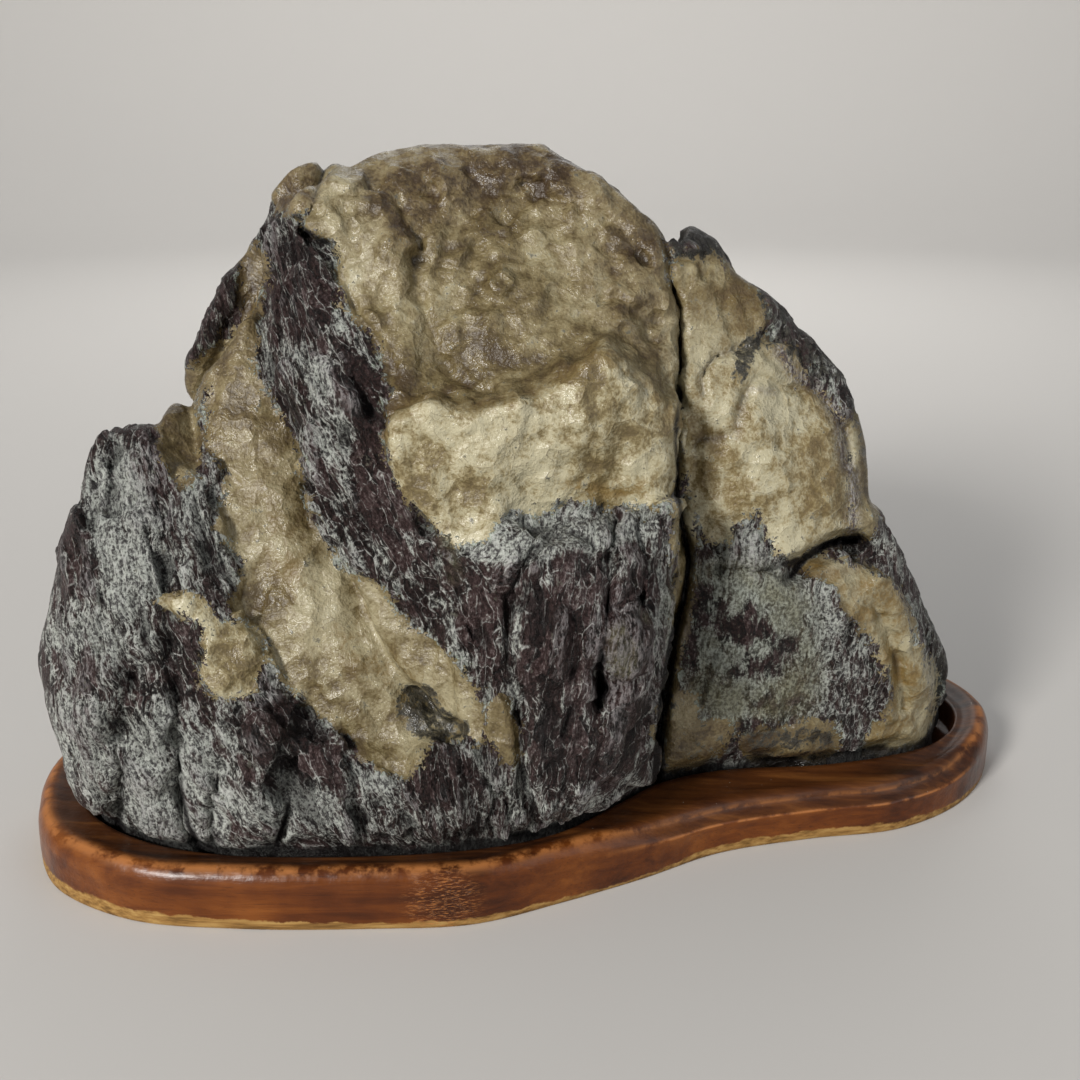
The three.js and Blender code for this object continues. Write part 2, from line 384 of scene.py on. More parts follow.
# Rings 0 to 16 go up the side, 17 to 23 cross the top to the tray's lip, and the rest go down inside.
ring_of = np.repeat(np.arange(len(rings)), STAND_STATIONS)
mark(stand, "bare", np.tile(bare, len(rings)) - stand_points[:, 2])
bevel_here = np.tile(double, len(rings))
# The upward faces: the top, and on the front right the bevel strip. Dust lies there, and they are painted
# darker there as painted shade.
top = np.maximum(ease(12.5, 16.5, ring_of), 0.85 * bevel_here * ease(8.2, 9.2, ring_of))
mark(stand, "top", top * (1 - ease(23, 25, ring_of)))
# The inside wall of the tray, under the stone, which is painted darker as painted shade.
mark(stand, "wall", ease(23, 25, ring_of))
# The rounded edges of the rim, where a painted highlight runs along the varnish.
nose = (1 - 0.5 * bevel_here) * np.exp(-((ring_of - 13) / (1.6 - 0.9 * bevel_here)) ** 2)
nose += bevel_here * np.exp(-((ring_of - 8) / 0.7) ** 2)
mark(stand, "nose", nose)

wood = Finish("varnished hardwood")
along = wood.place((0.035, 0.5, 0.5))
spot = wood.place()
growth = wood.cloud(along, 1.6, 5, 0.6, 0.4)
pores = wood.cloud(wood.place((0.10, 2.0, 2.0)), 0.9, 3, 0.6)
blotch = wood.cloud(spot, 30, 3, 0.5)
tint = wood.stain(wood.plus(wood.times(growth, 0.35), wood.times(blotch, 0.65)), [
    (0.38, paint(58, 26, 7)), (0.47, paint(84, 41, 12)), (0.55, paint(103, 54, 16)),
    (0.64, paint(124, 70, 25))])
tint = wood.mix(wood.times(wood.between(pores, 0.56, 0.7), 0.4), tint, paint(48, 22, 10))
# Painted shade on the upward faces: a darker, redder stain there.
painted_shade_on_top = wood.times(wood.read("top"), wood.between(blotch, 0.3, 0.62, (0.95, 0.8)))
tint = wood.mix(painted_shade_on_top, tint, wood.stain(growth, [
    (0.36, paint(34, 17, 8)), (0.55, paint(64, 36, 16)), (0.68, paint(92, 57, 27))]))
# Painted shade on the tray's inside wall under the stone.
tint = wood.mix(wood.times(wood.read("wall"), 0.7), tint, paint(58, 36, 22))
# A painted highlight along the rounded edges, lighter in patches; the varnish there is also rubbed duller,
# which sets the gloss below.
wear_and_painted_highlight = wood.times(wood.read("nose"), wood.between(wood.cloud(spot, 7, 5, 0.65), 0.40, 0.58))
tint = wood.mix(wood.times(wear_and_painted_highlight, 0.55), tint, paint(196, 128, 70))
worn = wood.plus(wood.read("bare"), wood.times(wood.plus(wood.cloud(spot, 6, 5, 0.6), -0.5), 3.6))
worn = wood.between(worn, -0.35, 0.35)
raw = wood.stain(wood.cloud(along, 0.7, 5, 0.6), [
    (0.35, paint(104, 74, 34)), (0.5, paint(144, 108, 57)), (0.65, paint(168, 134, 79))])
tint = wood.mix(worn, tint, raw)
scuff_spot = wood.node("ShaderNodeVectorMath", {0: spot, 1: (-26.0, -74.0, 8.0)}, operation="DISTANCE")
scuff = wood.between(scuff_spot.outputs["Value"], 14, 4)
hairs = wood.between(wood.cloud(wood.place((0.35, 0.5, 2.4)), 0.8, 3, 0.7), 0.5, 0.62)
scuff = wood.times(scuff, hairs)
tint = wood.mix(wood.times(scuff, 0.6), tint, paint(190, 122, 62))
dust = wood.between(wood.cells(spot, 2.6).outputs["Distance"], 0.085, 0.05)
dust = wood.times(dust, wood.between(wood.cloud(spot, 9, 2), 0.56, 0.66), wood.read("top"))
tint = wood.mix(wood.times(dust, 0.7), tint, paint(205, 195, 180))
wood.feed(wood.shader.inputs["Base Color"], tint)
gloss = wood.blend(painted_shade_on_top, 0.24, 0.36)
gloss = wood.blend(worn, gloss, 0.72)
gloss = wood.blend(wood.plus(wear_and_painted_highlight, scuff), gloss, 0.45)
wood.feed(wood.shader.inputs["Roughness"], wood.plus(gloss, wood.times(blotch, 0.12)))
skin = wood.relief(wood.cloud(spot, 5, 3, 0.5), 0.35)
skin = wood.relief(pores, 0.05, skin)
skin = wood.relief(scuff, 0.06, skin)
wood.feed(wood.shader.inputs["Normal"], skin)
wood.shader.inputs["Specular IOR Level"].default_value = 0.25
wood.shader.inputs["Coat Weight"].default_value = 0.1
wood.shader.inputs["Coat Roughness"].default_value = 0.2
stand.data.materials.append(wood.material)

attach(stand, "root")
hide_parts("stand")

# ---- the stone ------------------------------------------------------------------------------------
# One natural boulder of foliated purple schist with lenses of buff quartz, weathered and water-worn.
# It is shaped by nature alone, and stands loose in the tray. Here it is grown from the same big masses
# as the solid model, then cracked, split, chipped and worn.

MASSES = {
    "core": [
        (-112, -22, 8), (-112, 18, 8), (-60, -45, 8), (0, -40, 8), (40, -20, 8), (112, 2, 8),
        (120, 30, 8), (40, 50, 8), (-60, 33, 8), (-104, -16, 110), (-100, 14, 112), (-56, -14, 172),
        (18, -14, 172), (46, -4, 160), (84, 6, 120), (80, 30, 120), (30, 30, 160), (-44, 24, 176),
        (-34, -36, 122), (-30, -36, 90), (18, -26, 90),
    ],
    "leftWall": [
        (-132, -40, 8), (-110, -56, 8), (-88, -63, 8), (-72, -60, 8), (-137, -18, 8), (-124, 12, 8),
        (-98, 30, 8), (-145, -34, 56), (-148, -12, 64), (-137, -52, 42), (-118, -60, 60),
        (-84, -63, 68), (-96, -57, 94), (-121, -44, 108), (-119, -30, 127), (-107, -30, 128),
        (-118, -6, 129), (-98, -10, 129), (-88, -44, 112), (-138, 14, 60), (-127, 22, 94),
        (-104, 34, 60), (-100, 28, 108), (-76, -58, 76), (-66, -40, 60),
    ],
    "saddle": [
        (-98, -12, 130), (-91, -14, 141), (-80, -10, 158), (-74, -37, 112), (-92, -33, 120),
        (-60, -52, 84), (-38, -58, 60), (-24, -60, 46), (-80, -58, 66), (-70, -60, 40),
        (-60, 30, 8), (-20, 40, 8), (-92, 30, 100), (-76, 24, 160), (-30, 34, 100), (-20, -56, 8),
        (-70, -58, 8),
    ],
    "farShoulder": [
        (-104, 6, 126), (-103, 10, 140), (-94, 6, 156), (-87, 8, 168), (-79, 6, 178), (-72, 14, 185),
        (-76, 26, 176), (-98, 26, 136), (-98, 28, 100), (-70, -4, 150), (-70, 26, 120),
    ],
    "ridgeAbove": [
        (-72, 2, 184), (-66, -8, 188), (-57, -12, 180), (-72, -12, 168), (-66, -30, 146),
        (-42, -36, 146), (-74, -16, 138), (-60, -42, 120), (-36, -42, 118), (-66, 20, 176),
        (-40, 20, 120),
    ],
    "ridgeBelow": [
        (-66, -30, 146), (-40, -40, 142), (-62, -42, 118), (-42, -50, 106), (-24, -54, 108),
        (-46, -54, 86), (-16, -63, 70), (-26, -62, 54), (-2, -58, 64), (-40, 20, 100), (0, 0, 60),
        (-30, -30, 40),
    ],
    "crown": [
        (-62, -14, 190), (-59, -22, 176), (-54, -30, 158), (-50, 0, 198), (-30, 4, 201),
        (2, 4, 202), (14, -2, 196), (34, -6, 179), (37, -16, 160), (36, -30, 138), (-54, 24, 189),
        (-20, 28, 196), (14, 26, 188), (36, 22, 168), (-34, -44, 138), (-4, -42, 142),
        (16, -40, 152), (-58, 34, 110), (36, 36, 110), (-40, -38, 120), (36, -34, 112),
    ],
    "cliff": [
        (-38, -45, 136), (-28, -49, 138), (-4, -49, 142), (16, -43, 153), (33, -35, 146),
        (-44, -43, 122), (-28, -54, 105), (0, -56, 105), (28, -49, 110), (36, -36, 114),
        (-30, -20, 98), (36, -10, 98), (30, -10, 156),
    ],
    "buttress": [
        (-24, -55, 108), (-2, -60, 115), (18, -58, 115), (33, -50, 113), (-24, -64, 82),
        (4, -71, 84), (26, -66, 84), (37, -50, 80), (-22, -67, 48), (8, -70, 44), (26, -59, 42),
        (36, -42, 50), (-14, -62, 8), (7, -53, 8), (21, -43, 8), (34, -31, 8), (-20, 0, 100),
        (34, 0, 110), (34, 20, 8), (-20, 20, 8),
    ],
    "toes": [
        (-104, -58, 8), (-88, -64, 8), (-66, -67, 8), (-38, -66, 8), (-11, -61, 8), (6, -53, 8),
        (-100, -62, 30), (-76, -69, 34), (-46, -69, 28), (-14, -68, 34), (-84, -64, 56),
        (-60, -63, 50), (-26, -63, 48), (-40, 0, 60), (-90, 0, 60), (-40, 0, 8), (-90, 0, 8),
    ],
    "rightWall": [
        (38, -18, 92), (38, -20, 140), (38, -8, 172), (41, 2, 181), (51, 2, 175), (65, 0, 163),
        (79, 2, 148), (90, 0, 135), (97, 0, 115), (99, -6, 97), (64, -22, 122), (84, -17, 108),
        (84, -19, 90), (60, -23, 90), (44, 28, 174), (77, 34, 146), (99, 36, 110), (40, 44, 90),
        (104, 30, 80),
    ],
    "rightFoot": [
        (38, -24, 88), (70, -25, 90), (98, -8, 98), (105, 0, 95), (115, 0, 78), (123, 4, 62),
        (130, 6, 46), (133, 12, 26), (132, 10, 8), (121, -2, 8), (108, -10, 8), (82, -19, 8),
        (60, -20, 8), (38, -28, 8), (39, -30, 50), (72, -27, 52), (108, -14, 50), (135, 26, 30),
        (138, 26, 8), (130, 42, 8), (112, 52, 8), (123, 40, 60), (103, 38, 95), (84, 58, 8),
        (84, 50, 60), (40, 44, 100),
    ],
    "backLeft": [
        (-126, 11, 8), (-100, 31, 8), (-60, 38, 8), (-26, 42, 8), (-121, 20, 58), (-96, 36, 64),
        (-56, 43, 66), (-102, 29, 112), (-72, 34, 128), (-28, 37, 118), (-60, 0, 8), (-60, 0, 120),
    ],
    "backMiddle": [
        (-64, 36, 8), (-22, 44, 8), (22, 54, 8), (-46, 42, 84), (-6, 50, 66), (24, 54, 56),
        (-42, 39, 142), (-2, 44, 128), (32, 46, 116), (-46, 28, 184), (2, 32, 182), (32, 28, 168),
        (-20, 0, 8), (-20, 0, 184), (34, 0, 150),
    ],
    "backRight": [
        (18, 54, 8), (52, 60, 8), (88, 60, 8), (114, 53, 8), (132, 42, 8), (40, 58, 58),
        (68, 62, 54), (96, 57, 60), (120, 45, 54), (48, 49, 118), (80, 47, 108), (97, 40, 97),
        (52, 38, 156), (74, 35, 146), (60, 0, 8), (60, 0, 120), (110, 10, 8),
    ],
    "nub": [
        (-78, 12, 184), (-70, 8, 192), (-60, 10, 197), (-54, 16, 197), (-60, 24, 194),
        (-74, 22, 186), (-70, 20, 168), (-54, 12, 170),
    ],
    # Not in the solid model: it fills the hollow left between the toes and the buttress.
    "behindLens": [
        (-40, -58, 28), (-10, -60, 28), (-10, -58, 56), (-38, -56, 56),
        (-40, -28, 28), (-10, -28, 28), (-10, -28, 56), (-38, -28, 56),
    ],
}

GRAIN_SIZE = 1.0
OPEN_AIR = 9.0
FOOT_ROOM = 1.3
UNDERSIDE = 8.8
ABOVE_RIM = 18.2
BEND_ROOM = 12
CHIP_ROOM = 0.9
DEEPEST_CUT = 17
LOW = np.array([-156.0, -82.0, 5.0])
HIGH = np.array([146.0, 70.0, 212.0])
cells_along = np.ceil((HIGH - LOW) / GRAIN_SIZE).astype(int)
axes = [(LOW[k] + GRAIN_SIZE * np.arange(cells_along[k])).astype(np.float32) for k in range(3)]


def swell(size, seed):
    """Smooth random waves about as long as the size, over the whole block."""
    rng = np.random.default_rng(seed)
    waves = rng.uniform(-1, 1, [int(np.ceil((axis[-1] - axis[0]) / size)) + 4 for axis in axes])
    for k, axis in enumerate(axes):
        at = (axis - axis[0]) / size
        first = np.floor(at).astype(int)
        t = at - first
        weights = np.zeros((len(axis), waves.shape[k]))
        rows = np.arange(len(axis))
        weights[rows, first] = (1 - t) ** 3 / 6
        weights[rows, first + 1] = (3 * t**3 - 6 * t**2 + 4) / 6
        weights[rows, first + 2] = (-3 * t**3 + 3 * t**2 + 3 * t + 1) / 6
        weights[rows, first + 3] = t**3 / 6
        turned = np.tensordot(weights.astype(np.float32), waves.astype(np.float32), (1, k))
        waves = np.moveaxis(turned, 0, k)
    return waves


def flat_sides(corners):
    """The planes that close round a set of corner points."""
    mesh = bmesh.new()
    bmesh.ops.convex_hull(mesh, input=[mesh.verts.new(corner) for corner in corners])
    mesh.normal_update()
    middle = np.mean(corners, axis=0)
    sides = {}
    for face in mesh.faces:
        normal, point = np.array(face.normal), np.array(face.verts[0].co)
        if normal @ (middle - point) > 0:
            normal = -normal
        sides[tuple((normal * 500).round().astype(int))] = (*normal, normal @ point)
    mesh.free()
    return np.array(list(sides.values()), np.float32)


def soften(one, two, width):
    """The lower of two depths, with the crease between them filled."""
    t = np.clip(0.5 + 0.5 * (two - one) / width, 0, 1)
    return two + (one - two) * t - width * t * (1 - t)


# The masses are laid in bent space, so that none of their sides comes out flat.
bent = []
for k in range(3):
    bent.append(3.6 * swell(22, 30 + k) + 1.7 * swell(9.5, 40 + k))
    bent[k] += axes[k].reshape([-1 if n == k else 1 for n in range(3)])

block = np.full(cells_along, OPEN_AIR, np.float32)
for corners in MASSES.values():
    reach = [
        slice(
            max(int((min(c[k] for c in corners) - BEND_ROOM - LOW[k]) / GRAIN_SIZE), 0),
            int((max(c[k] for c in corners) + BEND_ROOM - LOW[k]) / GRAIN_SIZE) + 1,
        )
        for k in range(3)
    ]
    x, y, z = (b[tuple(reach)] for b in bent)
    depth = np.full(x.shape, -np.inf, np.float32)
    for nx, ny, nz, far in flat_sides(corners):
        np.maximum(depth, nx * x + ny * y + nz * z - far, out=depth)
    block[tuple(reach)] = soften(block[tuple(reach)], depth, 2.5)
block -= CHIP_ROOM


def spread(values, times):
    """Evens out a block of values with its neighbours."""
    for _ in range(times):
        for k in range(3):
            values = (2 * values + np.roll(values, 1, k) + np.roll(values, -1, k)) / 4
    return values


block = spread(block, 2)

# What is seen from the display side is laid out on an upright board just in front of the stone, and
# carried back onto it along straight lines from the viewer's place.
EYE = np.array(VIEWER)
BOARD_Y = -40.0
BOARD_STEP = 0.7
board_x = np.arange(-152, 142, BOARD_STEP)
board_z = np.arange(-30, 216, BOARD_STEP)
BX, BZ = np.meshgrid(board_x, board_z, indexing="ij")


def to_board(points):
    """Where the viewer sees each point on the board: how far across and how high."""
    t = (BOARD_Y - EYE[1]) / (points[:, 1] - EYE[1])
    return EYE[0] + (points[:, 0] - EYE[0]) * t, EYE[2] + (points[:, 2] - EYE[2]) * t


def look_up(board, x, z):
    """The board's value at each place, between its grid points."""
    i = np.clip((x - board_x[0]) / BOARD_STEP, 0, len(board_x) - 1.001)
    j = np.clip((z - board_z[0]) / BOARD_STEP, 0, len(board_z) - 1.001)
    a, b = i.astype(int), j.astype(int)
    i, j = i - a, j - b
    near = board[a, b] * (1 - j) + board[a, b + 1] * j
    return near * (1 - i) + (board[a + 1, b] * (1 - j) + board[a + 1, b + 1] * j) * i


def to_line(points, x=None, z=None):
    """How far each place is from a bent line, and how far along the line its nearest point is."""
    x, z = (BX, BZ) if x is None else (x, z)
    points = np.array(points, float)
    length = np.linalg.norm(np.diff(points, axis=0), axis=1)
    start = np.concatenate([[0], np.cumsum(length)])
    away, along = np.full(x.shape, 1e6), np.zeros(x.shape)
    for (ax, az), (bx, bz), long, before in zip(points[:-1], points[1:], length, start):
        t = np.clip(((x - ax) * (bx - ax) + (z - az) * (bz - az)) / max(long, 1e-6) ** 2, 0, 1)
        here = np.hypot(x - ax - t * (bx - ax), z - az - t * (bz - az))
        along = np.where(here < away, (before + t * long) / start[-1], along)
        away = np.minimum(away, here)
    return away, along


def patch(corners, round_off=True, x=None, z=None):
    """How far outside a closed outline each place is; inside it is below zero."""
    x, z = (BX, BZ) if x is None else (x, z)
    ring = smooth_ring(corners, max(4 * len(corners), 24)) if round_off else np.array(corners, float)
    loop = np.vstack([ring, ring[:1]])
    away, _ = to_line(loop, x, z)
    inside = np.zeros(x.shape, bool)
    for (ax, az), (bx, bz) in zip(loop[:-1], loop[1:]):
        if az != bz:
            inside ^= ((az > z) != (bz > z)) & (x < (bx - ax) * (z - az) / (bz - az) + ax)
    return np.where(inside, -away, away)


def daub(corners, soft, out=0.0):
    """One inside a closed outline on the board, fading to nothing across its edge."""
    return ease(out + soft, out - soft, patch(corners))


# The stone's skyline, and the outlines of its quartz bodies.
SILHOUETTE = [
    (-135, -30), (-136, 16), (-140, 46), (-141, 71), (-135, 86), (-130, 104), (-122, 123), (-114, 133),
    (-112, 134), (-109, 131.5), (-105, 133.5), (-100, 133), (-93, 144), (-90, 152), (-82, 168),
    (-75, 176), (-71, 182), (-67, 189), (-67, 194), (-59, 199), (-52, 199.5), (-47, 198), (-39, 202),
    (-29, 203.5), (-14, 203), (0, 204.5), (5, 201), (15, 196), (24, 189), (30, 183), (32.5, 180),
    (34, 184), (37, 185), (44, 181), (49, 173), (59, 166), (70, 156), (81, 144), (85, 137), (89, 123),
    (93, 108), (100, 95), (107, 80), (114, 68), (119, 59), (121, 46), (122, 30), (122, -30),
]
QUARTZ = {
    "dome": [
        (-51, 198), (-55, 194), (-57, 183), (-53, 182), (-50, 178), (-49, 165), (-45, 160), (-41, 156),
        (-38, 144), (-40, 127), (-32, 109), (-18, 100), (-8, 110), (-1, 108), (8, 113), (30, 111),
        (36, 116), (36, 153), (30, 184), (24, 194), (0, 214), (-39, 212),
    ],
    "vein": [
        (-73, 176), (-76, 160), (-95, 143), (-100, 134), (-98, 120), (-97, 117), (-91, 120), (-90, 134),
        (-87, 144), (-85, 145), (-88, 129), (-86, 124), (-83, 122), (-86, 105), (-80, 94), (-85, 80),
        (-81, 78), (-77, 74), (-73, 61), (-65, 51), (-53, 40), (-51, 35), (-43, 29), (-38, 28), (-34, 37),
        (-31, 39), (-19, 41), (-17, 38), (-19, 56), (-30, 70), (-38, 77), (-45, 87), (-54, 92), (-57, 96),
        (-64, 115), (-64, 125), (-73, 146), (-74, 153), (-69, 177),
    ],
    "island": [
        (-103, 83), (-100, 81), (-97, 83), (-94, 81), (-92, 77), (-86, 74), (-81, 73), (-80, 68),
        (-81, 62), (-84, 56), (-89, 55), (-93, 58), (-94, 63), (-92, 68), (-92, 74), (-95, 79), (-98, 80),
    ],
    "shoulder": [
        (35, 175), (41, 176), (48, 174), (52, 171), (57, 163), (57, 159), (54, 158), (57, 154), (65, 153),
        (68, 146), (65, 142), (72, 142), (80, 132), (82, 124), (82, 114), (83, 103), (72, 98), (70, 94),
        (63, 102), (60, 111), (53, 106), (52, 101), (46, 101), (40, 118),
    ],
    "strip": [(82, 134), (86, 136), (92, 109), (89, 102), (85, 104)],
    "band": [
        (72, 93), (82, 88), (86, 80), (92, 74), (97, 63), (101, 54), (100, 48), (96, 43), (96, 35),
        (105, 37), (111, 40), (112, 51), (111, 62), (106, 69), (103, 78), (98, 87), (91, 91), (84, 95),
        (77, 96),
    ],
    "lens": [
        (-15, 49.5), (-12, 52), (-8.5, 48), (-6.5, 42), (-6, 35), (-7.5, 31.5), (-11, 35), (-14, 39),
        (-15, 43),
    ],
    "toe": [(38, 54), (43, 55), (47, 46), (54, 46), (53, 38), (46, 32), (39, 29), (37, 41)],
    "heel": [(59, 41), (71, 43), (81, 45), (86, 38), (83, 33), (72, 31), (62, 32)],
    "crack side": [
        (38, 111), (41, 111), (42, 91), (40, 69), (37, 51), (35, 40), (33, 40), (36, 52), (38, 69),
        (38, 91),
    ],
    "nub": [(-67, 194), (-58, 200), (-51, 199), (-56, 189), (-62, 187)],
}
# The crack between the two walls, the ledge and dish of the dome, and the hollow under the right ledge.
MAIN_CRACK = [
    (31, 186), (32, 178), (33, 171), (36, 162), (37, 142), (36, 129), (37, 121), (37, 115), (41, 95),
    (40, 83), (37, 71), (35, 52), (34, 28), (34, 0),
]
LEDGE = [
    (-41, 128), (-36, 137), (-26, 139), (-15, 137), (-2, 140), (7, 146), (16, 153), (26, 144), (37, 134),
]
DISH = [
    (-28, 144), (-10, 144), (8, 153), (21, 163), (20, 183), (5, 193), (-17, 193), (-30, 181), (-32, 161),
]
CAVITY = [
    (69, 90.5), (72, 95), (77, 99), (82, 101.5), (86, 102), (87, 99), (84, 97), (80, 95.5), (76, 93),
    (72, 90),
]
INCLUSION = [(-39, 56), (-30, 56), (-27, 49), (-20, 44), (-22, 40), (-32, 40), (-40, 44)]

# Grooves: the line, half its width at each end, and its depth at each end.
GROOVES = [
    (MAIN_CRACK, (0.6, 1.2), (4, 11)),
    ([(-114, 62), (-118, 52), (-120, 40), (-121, 28), (-125, 8)], (1.0, 1.6), (2, 6)),
    ([(-103, 58), (-104, 40), (-105, 26), (-104, 11), (-98, -4)], (1.0, 1.7), (3, 7)),
    ([(-87, 45), (-91, 33), (-95, 23), (-97, 12), (-97, -4)], (0.9, 1.5), (2, 6)),
    ([(-66, 50), (-69, 44), (-71, 33), (-74, 16), (-81, -4)], (0.8, 1.4), (4, 8)),
    ([(-56, 44), (-54, 31), (-54, 20), (-53, -4)], (1.0, 1.5), (3, 5)),
    ([(-51, 30), (-45, 25), (-39, 23), (-33, 26), (-26, 30), (-17, 28), (-10, 20), (-6, 2)],
     (0.9, 1.3), (1.8, 3.5)),
    ([(-1.5, 99), (-4.5, 92), (-7.5, 86), (-8.5, 75), (-9, 66), (-8, 58), (-5.5, 48), (-5, 34), (-3, 18),
      (0, 4)], (1.0, 1.4), (5.5, 4.5)),
    ([(-103, 131), (-103, 108), (-102, 96), (-104, 70), (-103, 52)], (0.9, 1.1), (3, 3)),
    ([(-112, 131), (-114, 112), (-116, 92)], (0.9, 0.9), (2.5, 1)),
    ([(-122, 112), (-126, 92), (-127, 70)], (0.9, 0.9), (2, 1.5)),
    ([(21, 109), (20, 97), (19, 78), (17, 66), (17, 50)], (0.9, 1.5), (4, 6)),
    ([(30, 110), (28, 96), (28, 82)], (0.8, 1.1), (4, 5)),
    ([(19, 80), (26, 84), (34, 80)], (0.8, 0.8), (2, 2)),
    ([(18, 66), (22, 60), (30, 60)], (1.2, 0.8), (4, 1.5)),
    ([(-8, 95), (-2, 104), (7, 108), (19, 110)], (0.9, 0.9), (1.5, 1.5)),
    ([(69, 90), (73, 96), (78, 99.5), (83, 101), (87, 101)], (1.2, 1.4), (7, 9)),
    ([(43, 141), (42, 146), (45, 151), (53, 154)], (0.7, 0.8), (4.0, 4.0)),
    ([(41, 129), (48, 130), (52, 131), (53, 140), (55, 144)], (0.6, 0.7), (3.5, 3.5)),
    ([(56, 146), (64, 143), (72, 143), (80, 133), (82, 122)], (0.9, 1.2), (3.0, 3.0)),
    ([(44, 92), (55, 93), (63, 92), (70, 95)], (0.8, 1.4), (2, 6)),
    ([(92, 82), (97, 74), (101, 65), (104, 50)], (1.0, 1.8), (2.5, 4)),
    ([(104, 84), (109, 72), (113, 60), (114, 40)], (1.0, 1.2), (1.5, 3)),
    ([(-51, 203), (-52.5, 198), (-55, 192), (-57, 186)], (0.9, 0.9), (6, 4)),
    ([(-60, 186), (-57, 181), (-53, 180)], (0.9, 0.9), (3, 3)),
    ([(-58, 183), (-52, 180), (-50, 173), (-46, 162), (-40, 154), (-37, 145)], (1.1, 1.2), (4, 3)),
    ([(-41, 130), (-36, 112), (-30, 100), (-22, 84), (-14, 66)], (0.9, 1.0), (2.5, 3)),
    ([(27, 159), (30, 154), (36, 132)], (1.1, 0.9), (2.5, 2)),
    ([(-31, 170), (-28, 160), (-25, 149), (-18, 142), (-8, 140)], (1.2, 1.0), (2.6, 2.2)),
    ([(-14, 192), (2, 191), (16, 187), (27, 176)], (1.0, 1.1), (2.0, 2.4)),
    ([(-35, 190), (-30, 180), (-30, 172)], (1.2, 1.0), (2.0, 1.4)),
    ([(8, 166), (20, 166), (30, 160)], (1.2, 1.2), (1.6, 2.2)),
]
# Broad swellings: the line, how far it spreads, and how high it stands.
SWELLINGS = [
    ([(-60, 184), (-60, 176), (-56, 163), (-50, 148), (-44, 132), (-39, 112), (-33, 95)], 7, 3.0),
    ([(-97, 137), (-91, 148), (-86, 160), (-81, 170)], 6, 5.0),
    ([(-48, 192), (-46, 184)], 4.5, 2.2),
    ([(-41, 189), (-39, 178)], 4.5, 2.0),
    ([(-36, 176), (-35, 158), (-35, 145)], 4, 1.6),
    ([(-128, 107), (-127, 83), (-128, 52)], 7, 2.0),
    ([(95, 90), (104, 74), (109, 56)], 4, 2.5),
    ([(-128, 46), (-131, 22)], 6, 2.6),
    ([(-111, 46), (-113, 14)], 5.5, 3.4),
    ([(-99, 44), (-100, 12)], 4, 2.8),
    ([(-80, 42), (-86, 12)], 6, 3.6),
    ([(-62, 36), (-65, 12)], 5, 3.2),
    ([(-28, 26), (-26, 10)], 8, 3.0),
    ([(10, 147), (11, 132), (9, 119)], 2.6, 1.1),
    ([(17, 150), (18, 134), (17, 118)], 2.2, 1.2),
    ([(25, 143), (26, 128), (25, 117)], 2.6, 1.4),
    ([(-30, 137), (-27, 126), (-20, 116)], 4, 0.9),
]
# The creamy cliff below the dome's ledge.
CLIFF = [
    (-38, 135), (-30, 139.5), (-22, 138), (-15, 136.5), (-8, 140), (-2, 141), (5, 145), (11, 149),
    (17, 155), (22, 150), (27, 144), (37, 138), (38, 112), (16, 108), (0, 104), (-10, 104), (-19, 96),
    (-30, 104), (-38, 116), (-41, 128),
]

# Slabs split off along flat joints: the outline, how far each stands out at its left and at its
# right, and how soft its edge is. One of them is stained olive.
GREEN_SLAB = [(20.7, 75), (29.9, 79), (29.6, 68.5), (25, 59), (20, 61.5)]
SLABS = [
    ([(-2, 96), (5, 101), (13, 103), (21, 104), (20, 95), (19, 86), (18, 77), (17, 66), (16, 52),
      (15, 31), (11, 17), (2, 12), (-2, 23), (-4, 34), (-4, 48), (-6.5, 58), (-7.5, 68), (-6, 86)],
     6.0, 2.2, 1.0),
    ([(22, 104), (25, 107), (28, 108), (30, 99), (31, 85), (31, 75), (30, 54), (27, 34), (20, 24),
      (17, 31), (18, 43), (19, 50), (24, 57), (20, 60), (20, 75), (20, 89)], 1.6, 3.0, 0.9),
    ([(-26, 99), (-19, 95), (-10, 94), (-5, 87), (-5, 75), (-8, 66), (-10, 56), (-15, 60), (-20, 71),
      (-25, 85)], 2.4, 0.2, 0.9),
    ([(15.5, 63), (18, 61), (20, 58), (19.5, 52), (17, 49), (15, 52.5)], -9.0, -9.0, 0.9),
    (GREEN_SLAB, 2.2, 1.0, 0.7),
    ([(-120, 104), (-106, 108), (-104, 89), (-108, 66), (-116, 66), (-121, 86)], 1.4, 2.2, 1.0),
    ([(-134, 92), (-124, 110), (-122, 90), (-125, 72), (-134, 76)], 0.6, 2.0, 0.8),
    ([(-66, 150), (-58, 152), (-50, 146), (-46, 132), (-50, 120), (-58, 124), (-64, 138)], 1.2, 2.6, 0.9),
    ([(-58, 178), (-50, 170), (-46, 158), (-52, 154), (-58, 160), (-62, 172)], 2.4, 1.0, 0.8),
    ([(-46, 118), (-38, 116), (-32, 104), (-28, 92), (-36, 90), (-44, 100)], 2.4, 0.8, 0.8),
    ([(-92, 50), (-80, 54), (-68, 54), (-67, 44), (-73, 31), (-86, 24), (-91, 36)], 1.4, 2.6, 1.2),
    ([(-128, 60), (-118, 62), (-118, 44), (-128, 40)], 1.0, 1.6, 0.9),
    ([(-36, 36), (-28, 40), (-20, 34), (-14, 22), (-24, 14), (-36, 20)], 2.6, 1.2, 1.0),
]

